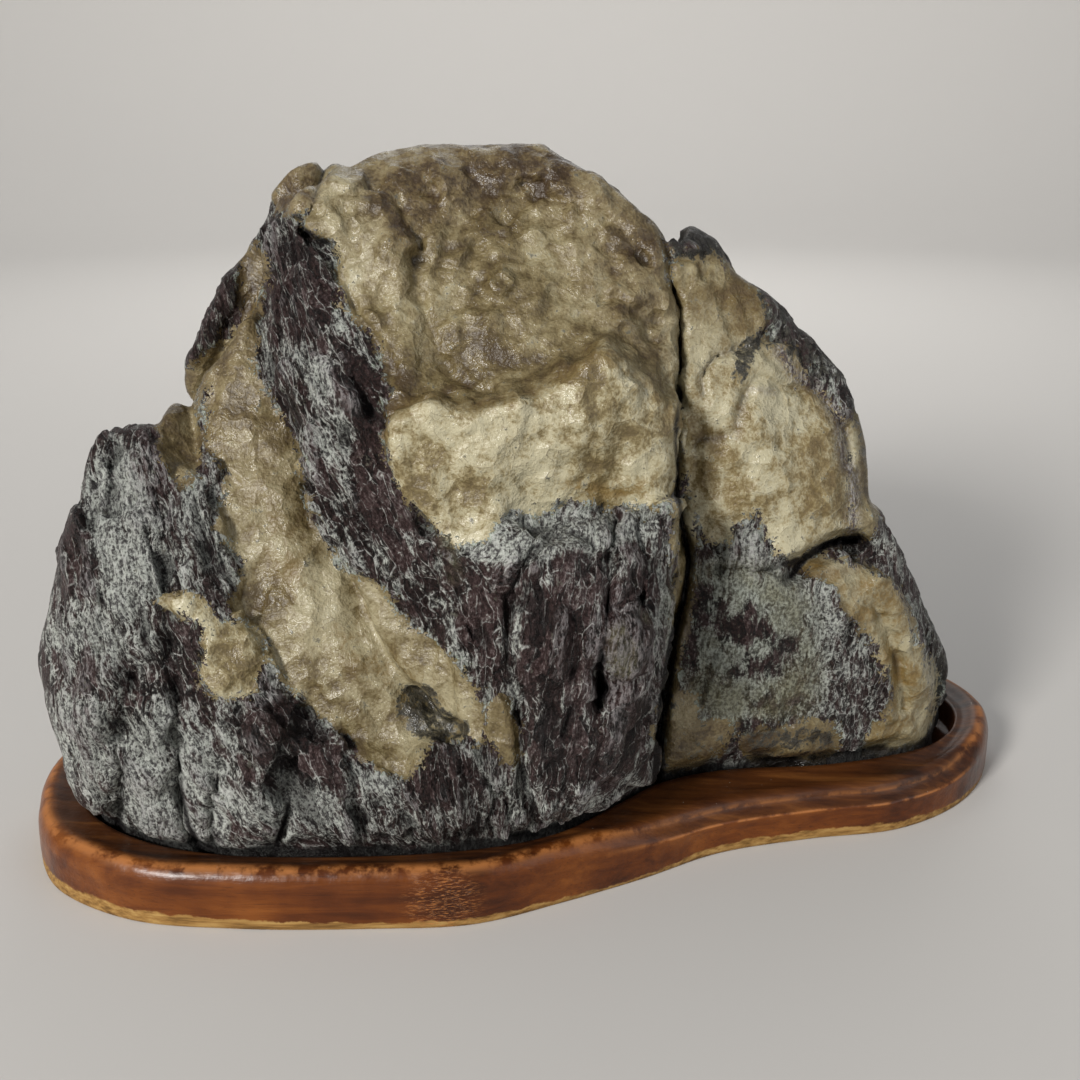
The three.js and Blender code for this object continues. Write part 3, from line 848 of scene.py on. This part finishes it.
carved = np.zeros(BX.shape)
for line, (w0, w1), (d0, d1) in GROOVES:
    away, along = to_line(line)
    width = w0 + (w1 - w0) * along
    carved += (d0 + (d1 - d0) * along) * np.exp(-((away / width) ** 2))
carved = np.minimum(carved, DEEPEST_CUT)
raised = np.zeros(BX.shape)
for line, width, height in SWELLINGS:
    away, along = to_line(line)
    raised += height * np.exp(-((away / width) ** 2))
for corners, left_out, right_out, soft in SLABS:
    left, right = min(x for x, z in corners), max(x for x, z in corners)
    lean = np.clip((BX - left) / (right - left), 0, 1)
    raised += (left_out + (right_out - left_out) * lean) * ease(soft, -soft, patch(corners))
# The buttress ends in a sloping top, and the cliff stands back behind it.
raised -= 5 * ease(95, 109, BZ + 0.12 * BX) * ease(142, 112, BZ) * ease(-14, -2, BX) * ease(33, 24, BX)
quartz_parts = {
    name: patch(corners) - (2.4 if name == "island" else 0.9) for name, corners in QUARTZ.items()
}
raised -= 2.2 * ease(2.5, -1.5, quartz_parts["vein"])
raised -= 1.8 * daub(INCLUSION, 1.5)
raised += 1.3 * ease(1.5, -1.5, quartz_parts["island"])
raised += 1.0 * ease(1.5, -1.5, quartz_parts["band"])
raised -= 3.2 * ease(6, -9, patch(DISH))
cliff_edge = patch(CLIFF)
raised += 4.4 * ease(0.9, -0.9, cliff_edge) * ease(104, 134, BZ)
raised += 1.6 * ease(1.0, -1.0, quartz_parts["dome"]) * ease(-1, -7, BX + 0.35 * (BZ - 180) + 44)
raised -= 6 * ease(1.5, -1.5, patch(CAVITY))
raised -= 2.6 * daub([(70, 88), (77, 97), (86, 101), (93, 98), (90, 91), (82, 89), (76, 86)], 2.5)
silhouette = patch(SILHOUETTE, round_off=False)

# All of that is cut into the front of the block, then the skyline, then the foot that fits the tray.
near_skin = np.argwhere(np.abs(block) < DEEPEST_CUT).astype(np.int32)
spots = LOW + near_skin * GRAIN_SIZE
board_at = to_board(spots)
facing = ease(30, 16, spots[:, 1])
skin = block[tuple(near_skin.T)].astype(float)
skin += facing * (look_up(carved, *board_at) - look_up(raised, *board_at))
outline = look_up(silhouette, *board_at) * (spots[:, 1] - EYE[1]) / (BOARD_Y - EYE[1])
skin = -soften(-skin, -outline, 2.0)
low_down = spots[:, 2] < 30
foot = patch(TRAY_OUTLINE, x=spots[low_down, 0], z=spots[low_down, 1]) + FOOT_ROOM
notches = np.clip(swell(8, 46)[tuple(near_skin[low_down].T)] + 0.08, 0, None)
foot += 7 * notches * ease(31, 20, spots[low_down, 2])
above = np.clip(spots[low_down, 2] - ABOVE_RIM, 0, None)
skin[low_down] = -soften(-skin[low_down], -(foot - above), 1.5)
skin = np.maximum(skin, UNDERSIDE - spots[:, 2])
block[tuple(near_skin.T)] = skin
block = spread(block, 1)
under = axes[2] < UNDERSIDE
block[:, :, under] = np.maximum(block[:, :, under], 0.6)

volume = openvdb.FloatGrid(background=3.0)
volume.copyFromArray(np.clip(block, -3, 3).astype(np.float32))
points, quads = volume.convertToQuads(isovalue=0.0)
points = LOW + points.astype(float) * GRAIN_SIZE
quads = quads.astype(np.int64)

# Loose crumbs are blown away: only what hangs together with the lowest part of the stone stays.
piece_of = np.arange(len(points))
while True:
    lowest = piece_of[quads].min(axis=1)
    joined = piece_of.copy()
    np.minimum.at(joined, quads.ravel(), np.repeat(lowest, 4))
    joined = joined[joined]
    if (joined == piece_of).all():
        break
    piece_of = joined
whole = piece_of == np.bincount(piece_of).argmax()
quads = quads[whole[quads].all(axis=1)]
renumber = np.cumsum(whole) - 1
points, quads = points[whole], renumber[quads]


def skin_normals(points, faces):
    """Which way is out at each point."""
    normal = np.zeros_like(points)
    one_way = points[faces[:, 2]] - points[faces[:, 0]]
    other_way = points[faces[:, -1]] - points[faces[:, 1]]
    across = np.cross(one_way, other_way)
    for k in range(faces.shape[1]):
        np.add.at(normal, faces[:, k], across)
    return normal / np.maximum(np.linalg.norm(normal, axis=1), 1e-9)[:, None]


LOTS = 8192


def hashed(cell, seed):
    """Four numbers from 0 to 1 for each cell, always the same for the same cell."""
    table = np.random.default_rng(seed).random((LOTS, 4))
    key = (cell[:, 0] * 73856093) ^ (cell[:, 1] * 19349663) ^ (cell[:, 2] * 83492791)
    return table[key % LOTS]


def pebble(places, seed):
    """Soft random heights from -1 to 1, one wave for each unit."""
    cell = np.floor(places).astype(np.int64)
    t = places - cell
    t = t * t * (3 - 2 * t)
    total = np.zeros(len(places))
    for corner in product((0, 1), repeat=3):
        weight = np.prod(np.where(corner, t, 1 - t), axis=1)
        total += weight * hashed(cell + corner, seed)[:, 0]
    return 2 * total - 1


def chipped(places, seed, tilt=0.5, crisp=24):
    """Flat tilted chips, one for each unit, that meet in narrow slopes."""
    cell = np.floor(places).astype(np.int64)
    share = np.full(len(places), 1e-12)
    height = np.zeros(len(places))
    for step in product((-1, 0, 1), repeat=3):
        there = cell + step
        lot = hashed(there, seed)
        lean = hashed(there, seed + 1)[:, :3] - 0.5
        gap = places - there - lot[:, :3]
        weight = np.exp(-crisp * (gap**2).sum(axis=1))
        height += weight * (lot[:, 3] - 0.5 + 2 * tilt * (gap * lean).sum(axis=1))
        share += weight
    return height / share


def along_grain(points):
    """Across the layers, along them, and into the stone; the layers lean more in the left ridge."""
    lean = np.interp(points[:, 0], [-140, -100, -60, -30, -5, 12, 30, 80, 130],
                     [0.10, 0.20, 0.45, 0.40, -0.10, -0.18, 0.02, -0.15, -0.35])
    return np.column_stack([
        points[:, 0] + lean * (points[:, 2] - 80) + 0.15 * points[:, 1],
        points[:, 2] - lean * points[:, 0],
        points[:, 1],
    ])


def front_of(points):
    """One on the display side, nothing on the back."""
    return ease(34, 18, points[:, 1])


quartz_board = np.minimum.reduce(list(quartz_parts.values()))


def quartz_depth(points):
    """How far each point is from the quartz, below zero inside it. It runs right through the stone."""
    sway = np.column_stack([
        pebble(points / 9, 60 + k) + 0.5 * pebble(points / 4, 64 + k) for k in range(2)])
    back = ease(-10, 50, points[:, 1])[:, None]
    sway = sway * (0.7 + 7 * back)
    x, z = to_board(points)
    return look_up(quartz_board, x + sway[:, 0], z + sway[:, 1])


# The skin is moved in and out along its normals: chips and flakes for the schist, calmer on the low
# right panel, and rounded lumps for the quartz, rougher on the dome.
calm_ground = 0.65 * ease(6, -6, patch([
    (41, 94), (66, 90), (90, 88), (100, 60), (96, 34), (60, 28), (38, 28), (38, 60)]))
normals = skin_normals(points, quads)
inside_quartz = ease(0.8, -0.8, quartz_depth(points))
calm = look_up(calm_ground, *to_board(points)) * front_of(points)
grain = along_grain(points)
grain += np.column_stack([1.8 * pebble(points / 7, 66 + k) for k in range(3)])
chips = 2.6 * chipped(grain / (13, 30, 16), 70, 1.0, 34)
chips += 1.9 * chipped(grain / (5.0, 14, 8), 72, 0.9)
chips += 0.8 * chipped(grain / (2.3, 7, 4), 74, 0.7)
chips += 0.5 * pebble(grain / (1.5, 9, 5), 76)
chips *= 1 - calm
chips += calm * (1.0 * pebble(points / 9, 77) + 0.9 * chipped(points / 6, 78, 0.8))
rough_top = look_up(ease(138, 190, BZ), *to_board(points))
lumps = 1.0 * pebble(points / 12, 80) + 1.0 * np.abs(pebble(points / 9, 81))
lumps += 0.6 * np.abs(pebble(points / 4.6, 83)) * (0.35 + 0.9 * rough_top)
lumps += 1.6 * chipped(points / (9, 9, 10), 82, 1.0) * (0.5 + 0.7 * rough_top)
lumps += 0.6 * chipped(points / 4.2, 84, 0.8) * (0.3 + 0.9 * rough_top)
bold = ease(2, -2, np.minimum(quartz_parts["dome"], quartz_parts["shoulder"]))
lumps *= 0.75 + 0.25 * look_up(bold, *to_board(points))
ledge_near = look_up(np.exp(-((to_line(LEDGE)[0] / 6) ** 2)), *to_board(points))
lumps += (1.6 * ledge_near * np.abs(pebble(points / 6, 86))
          + 0.8 * ledge_near * chipped(points / 5, 87, 1.0))
lumps *= 1 + 0.8 * ease(18, 40, points[:, 1])
height = chips * (1 - inside_quartz) + lumps * inside_quartz
height *= ease(17.5, 26, points[:, 2]) * 0.92 + 0.08
height *= 1 - 0.7 * ease(-7, -1, look_up(silhouette, *to_board(points))) * front_of(points)
points += normals * height[:, None]

mesh = bpy.data.meshes.new("stone")
mesh.vertices.add(len(points))
mesh.vertices.foreach_set("co", (points * MM).astype(np.float32).ravel())
mesh.loops.add(quads.size)
mesh.loops.foreach_set("vertex_index", quads.astype(np.int32).ravel())
mesh.polygons.add(len(quads))
mesh.polygons.foreach_set("loop_start", np.arange(0, quads.size, 4, dtype=np.int32))
mesh.update(calc_edges=True)
mesh.validate()
stone = bpy.data.objects.new("stone_boulder", mesh)
bpy.context.collection.objects.link(stone)

# The mesh is thinned, and most where it matters least.
MOST_TRIANGLES = 196000
thin = stone.modifiers.new("thin", "DECIMATE")
less_here = stone.vertex_groups.new(name="less here")
for weight, chosen in ((0.8, points[:, 1] > 12), (0.35, points[:, 1] <= 12)):
    less_here.add(np.flatnonzero(chosen).tolist(), weight, "REPLACE")
thin.vertex_group = "less here"
thin.ratio = min(1.0, MOST_TRIANGLES / (2 * len(quads)))
stone.data = bpy.data.meshes.new_from_object(stone.evaluated_get(bpy.context.evaluated_depsgraph_get()))
stone.modifiers.clear()
stone.data.shade_smooth()

# The surface: dark maroon schist with pale green-white film and fine lines over its layers, and waxy
# buff quartz mottled with olive, ochre and brown. Marks are laid out on the same board as the shape.
points = np.zeros(3 * len(stone.data.vertices), np.float32)
stone.data.vertices.foreach_get("co", points)
points = points.reshape(-1, 3).astype(float) / MM
board_at = to_board(points)
facing = front_of(points)


def brushed(line, width):
    """One along a bent line on the board, fading to nothing beside it."""
    away, _ = to_line(line)
    return np.exp(-((away / width) ** 2))


# Where the schist is bare maroon, and where it is whitened with film; on the buttress's sloping top the
# whitening is partly painted light.
MAROON = [
    [(-130, 104), (-122, 108), (-123, 86), (-128, 82), (-132, 89)],
    [(-133, 68), (-126, 65), (-127, 54), (-133, 57)],
    [(-103, 73), (-94, 78), (-95, 60), (-97, 54), (-104, 51), (-105, 62)],
    [(-87, 44), (-79, 51), (-67, 54), (-66, 49), (-70, 37), (-73, 31), (-86, 24), (-89, 34)],
    [(-69, 41), (-59, 43), (-54, 34), (-59, 22), (-69, 27)],
    [(-122, 130), (-114, 134), (-100, 133), (-98, 124), (-101, 107), (-105, 115), (-108, 127),
     (-114, 130), (-120, 121), (-128, 98), (-130, 98)],
    [(-1, 92), (8, 98), (17, 98), (16, 60), (12, 24), (2, 20), (-4, 40), (-4, 64)],
    [(19, 98), (26, 100), (30, 90), (31, 60), (28, 34), (18, 22), (14, 40), (19, 60)],
    [(-24, 88), (-12, 90), (-7, 74), (-12, 58), (-20, 68)],
    [(-42, 30), (-34, 38), (-22, 36), (-16, 24), (-30, 16)],
    [(-64, 182), (-56, 176), (-52, 164), (-60, 156), (-70, 168)],
    [(31, 182), (34, 188), (44, 184), (52, 174), (60, 166), (50, 164), (40, 172)],
    [(-88, 168), (-74, 178), (-74, 160), (-84, 146), (-92, 152)],
    [(-50, 152), (-44, 146), (-40, 128), (-34, 104), (-42, 98), (-48, 114), (-50, 134)],
]
WHITENED_AND_LIT = [
    ([(-120, 104), (-106, 106), (-105, 89), (-114, 73), (-120, 70), (-121, 86)], 6),
    ([(-118, 47), (-104, 51), (-105, 31), (-108, 10), (-120, 13), (-121, 31)], 7),
    ([(-117, 124), (-109, 130), (-106, 124), (-105, 113), (-108, 98), (-122, 98), (-120, 113)], 4),
    ([(-65, 24), (-59, 17), (-55, 10), (-66, 13), (-71, 20)], 3),
    ([(-55, 37), (-51, 31), (-41, 26), (-44, 24), (-53, 24), (-58, 34)], 2),
    ([(45, 85), (82, 87), (89, 65), (70, 62), (57, 51), (45, 63)], 6),
    # The buttress's sloping top: film, and painted light on its upward face.
    ([(-20, 98), (-9, 110), (3, 111), (31, 113), (31, 103), (16, 99), (2, 95), (-6, 94)], 2),
    ([(-59, 152), (-53, 147), (-49, 130), (-51, 118), (-59, 135)], 3),
    ([(43, 120), (46, 114), (52, 107), (47, 103), (43, 106)], 2),
    ([(42, 88), (60, 88), (64, 76), (58, 64), (44, 66)], 4),
]
film = 0.36 + 0.14 * ease(-60, -100, BX) + 0.06 * ease(60, 30, BZ)
film += 0.2 * daub([(-118, 36), (-96, 40), (-76, 38), (-72, 12), (-116, 6)], 8)
for corners, soft in WHITENED_AND_LIT:
    film += 0.42 * daub(corners, soft)
for corners in MAROON:
    film -= 0.44 * daub(corners, 3)
film += 0.4 * brushed([(-81, 76), (-73, 60), (-53, 38), (-40, 26)], 3)
film += 0.3 * brushed([(-62, 112), (-50, 88), (-30, 68), (-20, 56)], 2.5)
film += 0.3 * brushed([(-6, 80), (-8, 60), (-6, 30)], 2.5)
film += 0.3 * brushed([(64, 84), (66, 62), (60, 50), (40, 40)], 4)
film = np.clip(film, 0, 1)

bright = daub(CLIFF, 1.2)
bright += 0.35 * daub([(-56, 196), (-44, 196), (-40, 176), (-48, 172), (-54, 182)], 3)
bright += (1.0 * daub(QUARTZ["shoulder"], 1, 3) * ease(170, 140, BZ)
           + 0.35 * daub(QUARTZ["vein"], 1, 3) * ease(120, 90, BZ))
bright += 0.4 * daub(QUARTZ["band"], 1, 3) + 1.0 * daub(QUARTZ["island"], 1, 3)
# Brown on the quartz: a real stain on the nub, toe, heel and the hollow under the right ledge. On the
# dome's top and the vein's upper end it is also painted shade, darker where the faces turn up.
brown_and_top_shade = 0.8 * daub([
    (-44, 199), (-29, 206), (0, 208), (22, 193), (32, 176), (10, 187), (-8, 190), (-24, 184),
    (-36, 180)], 8)
brown_and_top_shade += 0.55 * daub([(10, 180), (30, 176), (34, 150), (24, 156), (14, 166)], 7)
brown_and_top_shade += 0.12 * daub([(-24, 148), (-6, 144), (4, 150), (-4, 160), (-20, 160)], 5)
brown_and_top_shade += 0.4 * daub([
    (-101, 140), (-74, 178), (-64, 176), (-70, 140), (-66, 112), (-84, 110), (-100, 118)], 5)
brown_and_top_shade += 0.9 * daub(QUARTZ["nub"], 1) + 0.55 * daub(QUARTZ["toe"], 1.5) + 0.35 * daub(QUARTZ["heel"], 1.5)
brown_and_top_shade += 0.7 * daub([(70, 89), (77, 97), (86, 101), (92, 98), (88, 92), (80, 90)], 2)
ochre = (0.3 * brushed(LEDGE, 2.5) + 0.3 * daub(QUARTZ["shoulder"], 3)
         + 0.7 * daub(QUARTZ["band"], 2) + 0.3 * brushed([(91, 88), (104, 50)], 4))
ochre += 0.9 * brushed([(7, 116), (18, 114.5), (29, 116)], 2.2)
ochre += 0.5 * brushed([(-76, 112), (-68, 92), (-50, 66), (-36, 56)], 5)
olive = 0.8 * daub([(41, 92), (70, 88), (78, 68), (76, 48), (50, 46), (39, 66)], 6)
olive += 0.6 * daub(GREEN_SLAB, 1.5)
olive += 0.9 * brushed([(62, 152), (63, 145)], 2.2) + 0.9 * brushed([(-25, 101), (-24, 90)], 2.0)
dark = 0.9 * daub([(32, 185), (40, 187), (50, 176), (41, 176), (35, 175)], 1.5)
dark += 0.9 * daub([(54, 157), (56, 158), (56, 152), (53, 144), (50, 146), (51, 152)], 1.0)
dark += 0.8 * brushed([(50, 153), (57, 155), (66, 152)], 1.0)
dark += 0.6 * daub([(83, 142), (86, 135), (88, 124), (86, 124), (83, 134)], 1.2)
dark += 0.75 * daub(QUARTZ["heel"], 2) + 0.3 * daub(QUARTZ["toe"], 2)
dark += 0.7 * daub([(103, 90), (112, 72), (119, 56), (118, 30), (113, 40), (110, 66)], 2.5)
dark += 1.2 * daub(INCLUSION, 1.5)
dark += 0.6 * daub([
    (54, 170), (61, 165), (74, 154), (83, 143), (79, 144), (72, 144), (67, 150), (61, 156)], 1.5)
purple = brushed([(62, 153), (67, 146), (73, 143), (79, 134), (81, 124), (84, 119), (85, 104)], 1.7)
purple += 0.5 * brushed([(43, 129), (52, 130), (53, 138), (55, 143), (61, 142)], 1.0)
purple += 0.4 * brushed([(43, 141), (42, 146), (45, 151), (53, 154)], 0.9)

# Each board is marked on the display side, and the back has an even share of a few of them.
AT_BACK = {"film": 0.45, "brown_and_top_shade": 0.3, "ochre": 0.25}
boards = {"film": film, "bright": bright, "brown_and_top_shade": brown_and_top_shade, "ochre": ochre, "olive": olive,
          "dark": dark, "purple": purple}
for name, board in boards.items():
    seen = np.clip(look_up(board, *board_at), 0, 1) * facing
    mark(stone, name, seen + (1 - facing) * AT_BACK.get(name, 0.0))
mark(stone, "quartz", quartz_depth(points).clip(-20, 20))
# Painted shadow along the foot of the stone, just above the tray. It is stored with the grooves' depth
# under crack, which paints shade into the grooves.
foot_painted_shadow = 0.6 * ease(22.5, 17.5, points[:, 2] + 2.0 * pebble(points / 6, 93))
mark(stone, "crack", np.maximum((look_up(carved, *board_at) * facing).clip(0, 9) / 9, foot_painted_shadow))
calm = look_up(calm_ground, *board_at) * facing
grain = along_grain(points)
grain[:, 1] = (grain[:, 1] - 60) * (1 + 1.0 * calm)
grain += np.column_stack([
    1.2 * pebble(points / 6, 100 + k) + 0.4 * pebble(points / 2.5, 103 + k) for k in range(3)])
mark(stone, "grain", grain)
mottle = pebble(points / 15, 90) + 0.8 * pebble(points / 7, 91) + 0.5 * pebble(points / 3.4, 92)
mark(stone, "mottle", mottle / 2.3)
kink = 0.6 * np.column_stack([pebble(points / 3.3, 94 + k) for k in range(3)])
mark(stone, "chips", grain * (1.1, 0.36, 0.46) + kink)
mark(stone, "scales", points / 2.3 + kink)

# Hollows are darkened as painted shade and edges are rubbed paler: the block is evened out and compared
# with its skin.
evened = spread(np.clip(block, -4, 4), 6)
at = np.clip((points - LOW) / GRAIN_SIZE, 0, cells_along - 1.001)
near = at.astype(int)
t = at - near
hollow = sum(
    np.prod(np.where(c, t, 1 - t), axis=1) * evened[tuple((near + c).T)]
    for c in product((0, 1), repeat=3)
)
mark(stone, "hollow", hollow)

rock = Finish("schist and quartz")
spot = rock.place()
grain = rock.read("grain", output="Vector")
chip_place = rock.read("chips", output="Vector")
scale_place = rock.read("scales", output="Vector")
mottle = rock.read("mottle")
CHIP = 3.0
ROUNDING = 1.6
cells = rock.cells(chip_place, CHIP)
chip_tone = rock.tone(cells)
scallop = rock.math("POWER", cells.outputs["Distance"], ROUNDING)
seam = rock.cells(chip_place, CHIP, "DISTANCE_TO_EDGE").outputs["Distance"]
cells = rock.cells(scale_place, CHIP)
scale_tone = rock.tone(cells)
dimple = rock.math("POWER", cells.outputs["Distance"], ROUNDING)
hairline = rock.cells(scale_place, CHIP, "DISTANCE_TO_EDGE").outputs["Distance"]
thread = rock.cloud(rock.scale(grain, (1.0, 0.26, 0.45)), 0.85, 4, 0.72)
fine = rock.cloud(spot, 0.9, 3, 0.66)
cloudy = rock.cloud(spot, 3.6, 4, 0.6)
patchy = rock.cloud(rock.scale(grain, (1.1, 0.32, 0.5)), 3.6, 5, 0.78)

# Schist: dark maroon chips, then lilac threads, green-white film, and pale lines where chips meet.
depth_tone = rock.plus(rock.times(chip_tone, 0.14), rock.times(thread, 0.46), rock.times(fine, 0.40),
                       rock.times(mottle, 0.04), 0.03)
schist = rock.stain(depth_tone, [
    (0.43, paint(13, 7, 6)), (0.51, paint(38, 24, 22)), (0.59, paint(62, 46, 45)),
    (0.71, paint(126, 115, 113))])
olive_here = rock.read("olive")
film_place = rock.plus(patchy, rock.times(rock.read("film"), 0.26), rock.times(thread, 0.24),
                       rock.times(fine, 0.16), rock.times(mottle, 0.13),
                       rock.times(mottle, olive_here, 0.34))
film_mask = rock.between(film_place, 0.77, 0.92)
film_tone = rock.plus(rock.times(thread, 0.5), rock.times(fine, 0.5))
film_colour = rock.mix(rock.between(film_tone, 0.42, 0.58),
                       rock.mix(olive_here, paint(70, 68, 68), paint(112, 114, 102)),
                       rock.mix(olive_here, paint(189, 193, 185), paint(172, 178, 167)))
schist = rock.mix(rock.times(film_mask, 0.92), schist, film_colour)
line_mask = rock.times(rock.between(seam, 0.045, 0.005), rock.between(film_place, 0.64, 0.80),
                       rock.between(thread, 0.40, 0.52), rock.between(olive_here, 0.7, 0.1))
schist = rock.mix(rock.times(line_mask, 0.68), schist, paint(192, 193, 188))
schist = rock.mix(rock.times(olive_here, rock.between(mottle, -0.3, 0.2), 0.8), schist,
                  rock.mix(rock.between(fine, 0.4, 0.6), paint(86, 81, 60), paint(134, 131, 103)))
hollow_here = rock.read("hollow")
edge = rock.between(hollow_here, 0.9, 2.0)
schist = rock.mix(rock.times(edge, rock.between(thread, 0.44, 0.58), 0.45), schist, paint(156, 152, 152))

# Quartz: buff and olive mottles, brown specks, white clouds.
body = rock.plus(rock.times(mottle, 0.17), rock.times(cloudy, 0.36), rock.times(fine, 0.16),
                 rock.times(scale_tone, 0.05), 0.255)
quartz = rock.stain(body, [
    (0.42, paint(66, 52, 30)), (0.49, paint(92, 79, 50)), (0.55, paint(113, 100, 69)),
    (0.63, paint(142, 131, 100)), (0.72, paint(172, 166, 142))])
quartz = rock.mix(rock.times(rock.read("bright"), rock.between(body, 0.40, 0.56, (0.3, 0.9))), quartz,
                  rock.mix(rock.between(body, 0.45, 0.60), paint(134, 119, 80), paint(181, 174, 146)))
quartz = rock.mix(rock.times(rock.read("brown_and_top_shade"), rock.between(body, 0.62, 0.46, (0.4, 0.95))), quartz,
                  rock.mix(rock.between(body, 0.44, 0.6), paint(52, 37, 23), paint(98, 80, 54)))
quartz = rock.mix(rock.times(rock.read("ochre"), rock.between(body, 0.60, 0.46), 0.6),
                  quartz, paint(130, 104, 54))
quartz = rock.mix(rock.times(rock.between(fine, 0.63, 0.68), 0.5), quartz, paint(84, 62, 36))
quartz = rock.mix(rock.times(rock.between(hairline, 0.02, 0.004), rock.between(cloudy, 0.50, 0.58), 0.45),
                  quartz, paint(84, 66, 42))
# Painted shade: the quartz goes darker brown in the hollows.
quartz = rock.mix(rock.times(rock.between(hollow_here, -0.8, -2.2), 0.35), quartz, paint(70, 54, 33))

# The border between them wanders, with a pale film on the lip of the schist here and there.
border = rock.plus(rock.read("quartz"), rock.times(mottle, 1.2), rock.times(rock.plus(cloudy, -0.5), 10.0),
                   rock.times(rock.plus(fine, -0.5), 6.0), chip_tone, -0.5)
is_schist = rock.between(border, -0.12, 0.12)
lip = rock.times(rock.between(border, 2.2, 0.3), rock.between(patchy, 0.50, 0.60),
                 rock.between(thread, 0.42, 0.54))
schist = rock.mix(rock.times(lip, 0.85), schist, paint(160, 170, 156))
skin_colour = rock.mix(is_schist, quartz, schist)
purple_streaks = rock.mix(rock.between(thread, 0.46, 0.60), paint(58, 44, 48), paint(160, 156, 150))
skin_colour = rock.mix(rock.times(rock.read("purple"), rock.between(fine, 0.38, 0.5)), skin_colour,
                       purple_streaks)
dark_here = rock.read("dark")
inclusions = rock.between(rock.plus(rock.times(dark_here, 0.3), cloudy, rock.times(fine, 0.3)), 0.80, 0.90)
skin_colour = rock.mix(rock.times(inclusions, 0.85), skin_colour,
                       rock.mix(rock.between(fine, 0.44, 0.6), paint(26, 23, 21), paint(88, 86, 76)))
specks = rock.times(rock.between(rock.plus(rock.times(fine, 0.6), rock.times(cloudy, 0.4)), 0.51, 0.55),
                    rock.between(dark_here, 0.5, 0.7))
skin_colour = rock.mix(rock.times(specks, 0.8), skin_colour, paint(24, 22, 19))
# Painted shade: near black in the hollows, in the grooves by their depth, and in a painted shadow along
# the foot.
painted_shade = rock.times(rock.between(hollow_here, -0.9, -2.1), 0.6)
painted_shade = rock.math("MAXIMUM", painted_shade, rock.between(rock.read("crack"), 0.26, 0.66))
skin_colour = rock.mix(painted_shade, skin_colour, paint(14, 11, 11))
rock.feed(rock.shader.inputs["Base Color"], skin_colour)

quartz_rough = rock.between(cloudy, 0.40, 0.60, (0.42, 0.24))
schist_rough = rock.between(thread, 0.4, 0.62, (0.36, 0.66))
rock.feed(rock.shader.inputs["Roughness"], rock.blend(is_schist, quartz_rough, schist_rough))
schist_skin = rock.plus(rock.times(scallop, 0.7), rock.times(thread, 1.7), rock.times(fine, 0.8))
quartz_skin = rock.plus(rock.times(dimple, 1.1), rock.times(cloudy, 0.7), rock.times(fine, 0.14))
both = rock.blend(is_schist, quartz_skin, schist_skin)
rock.feed(rock.shader.inputs["Normal"], rock.relief(both, 1.2))
rock.feed(rock.shader.inputs["Specular IOR Level"], rock.blend(is_schist, 0.5, 0.3))
stone.data.materials.append(rock.material)

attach(stone, "root")
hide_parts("stone")
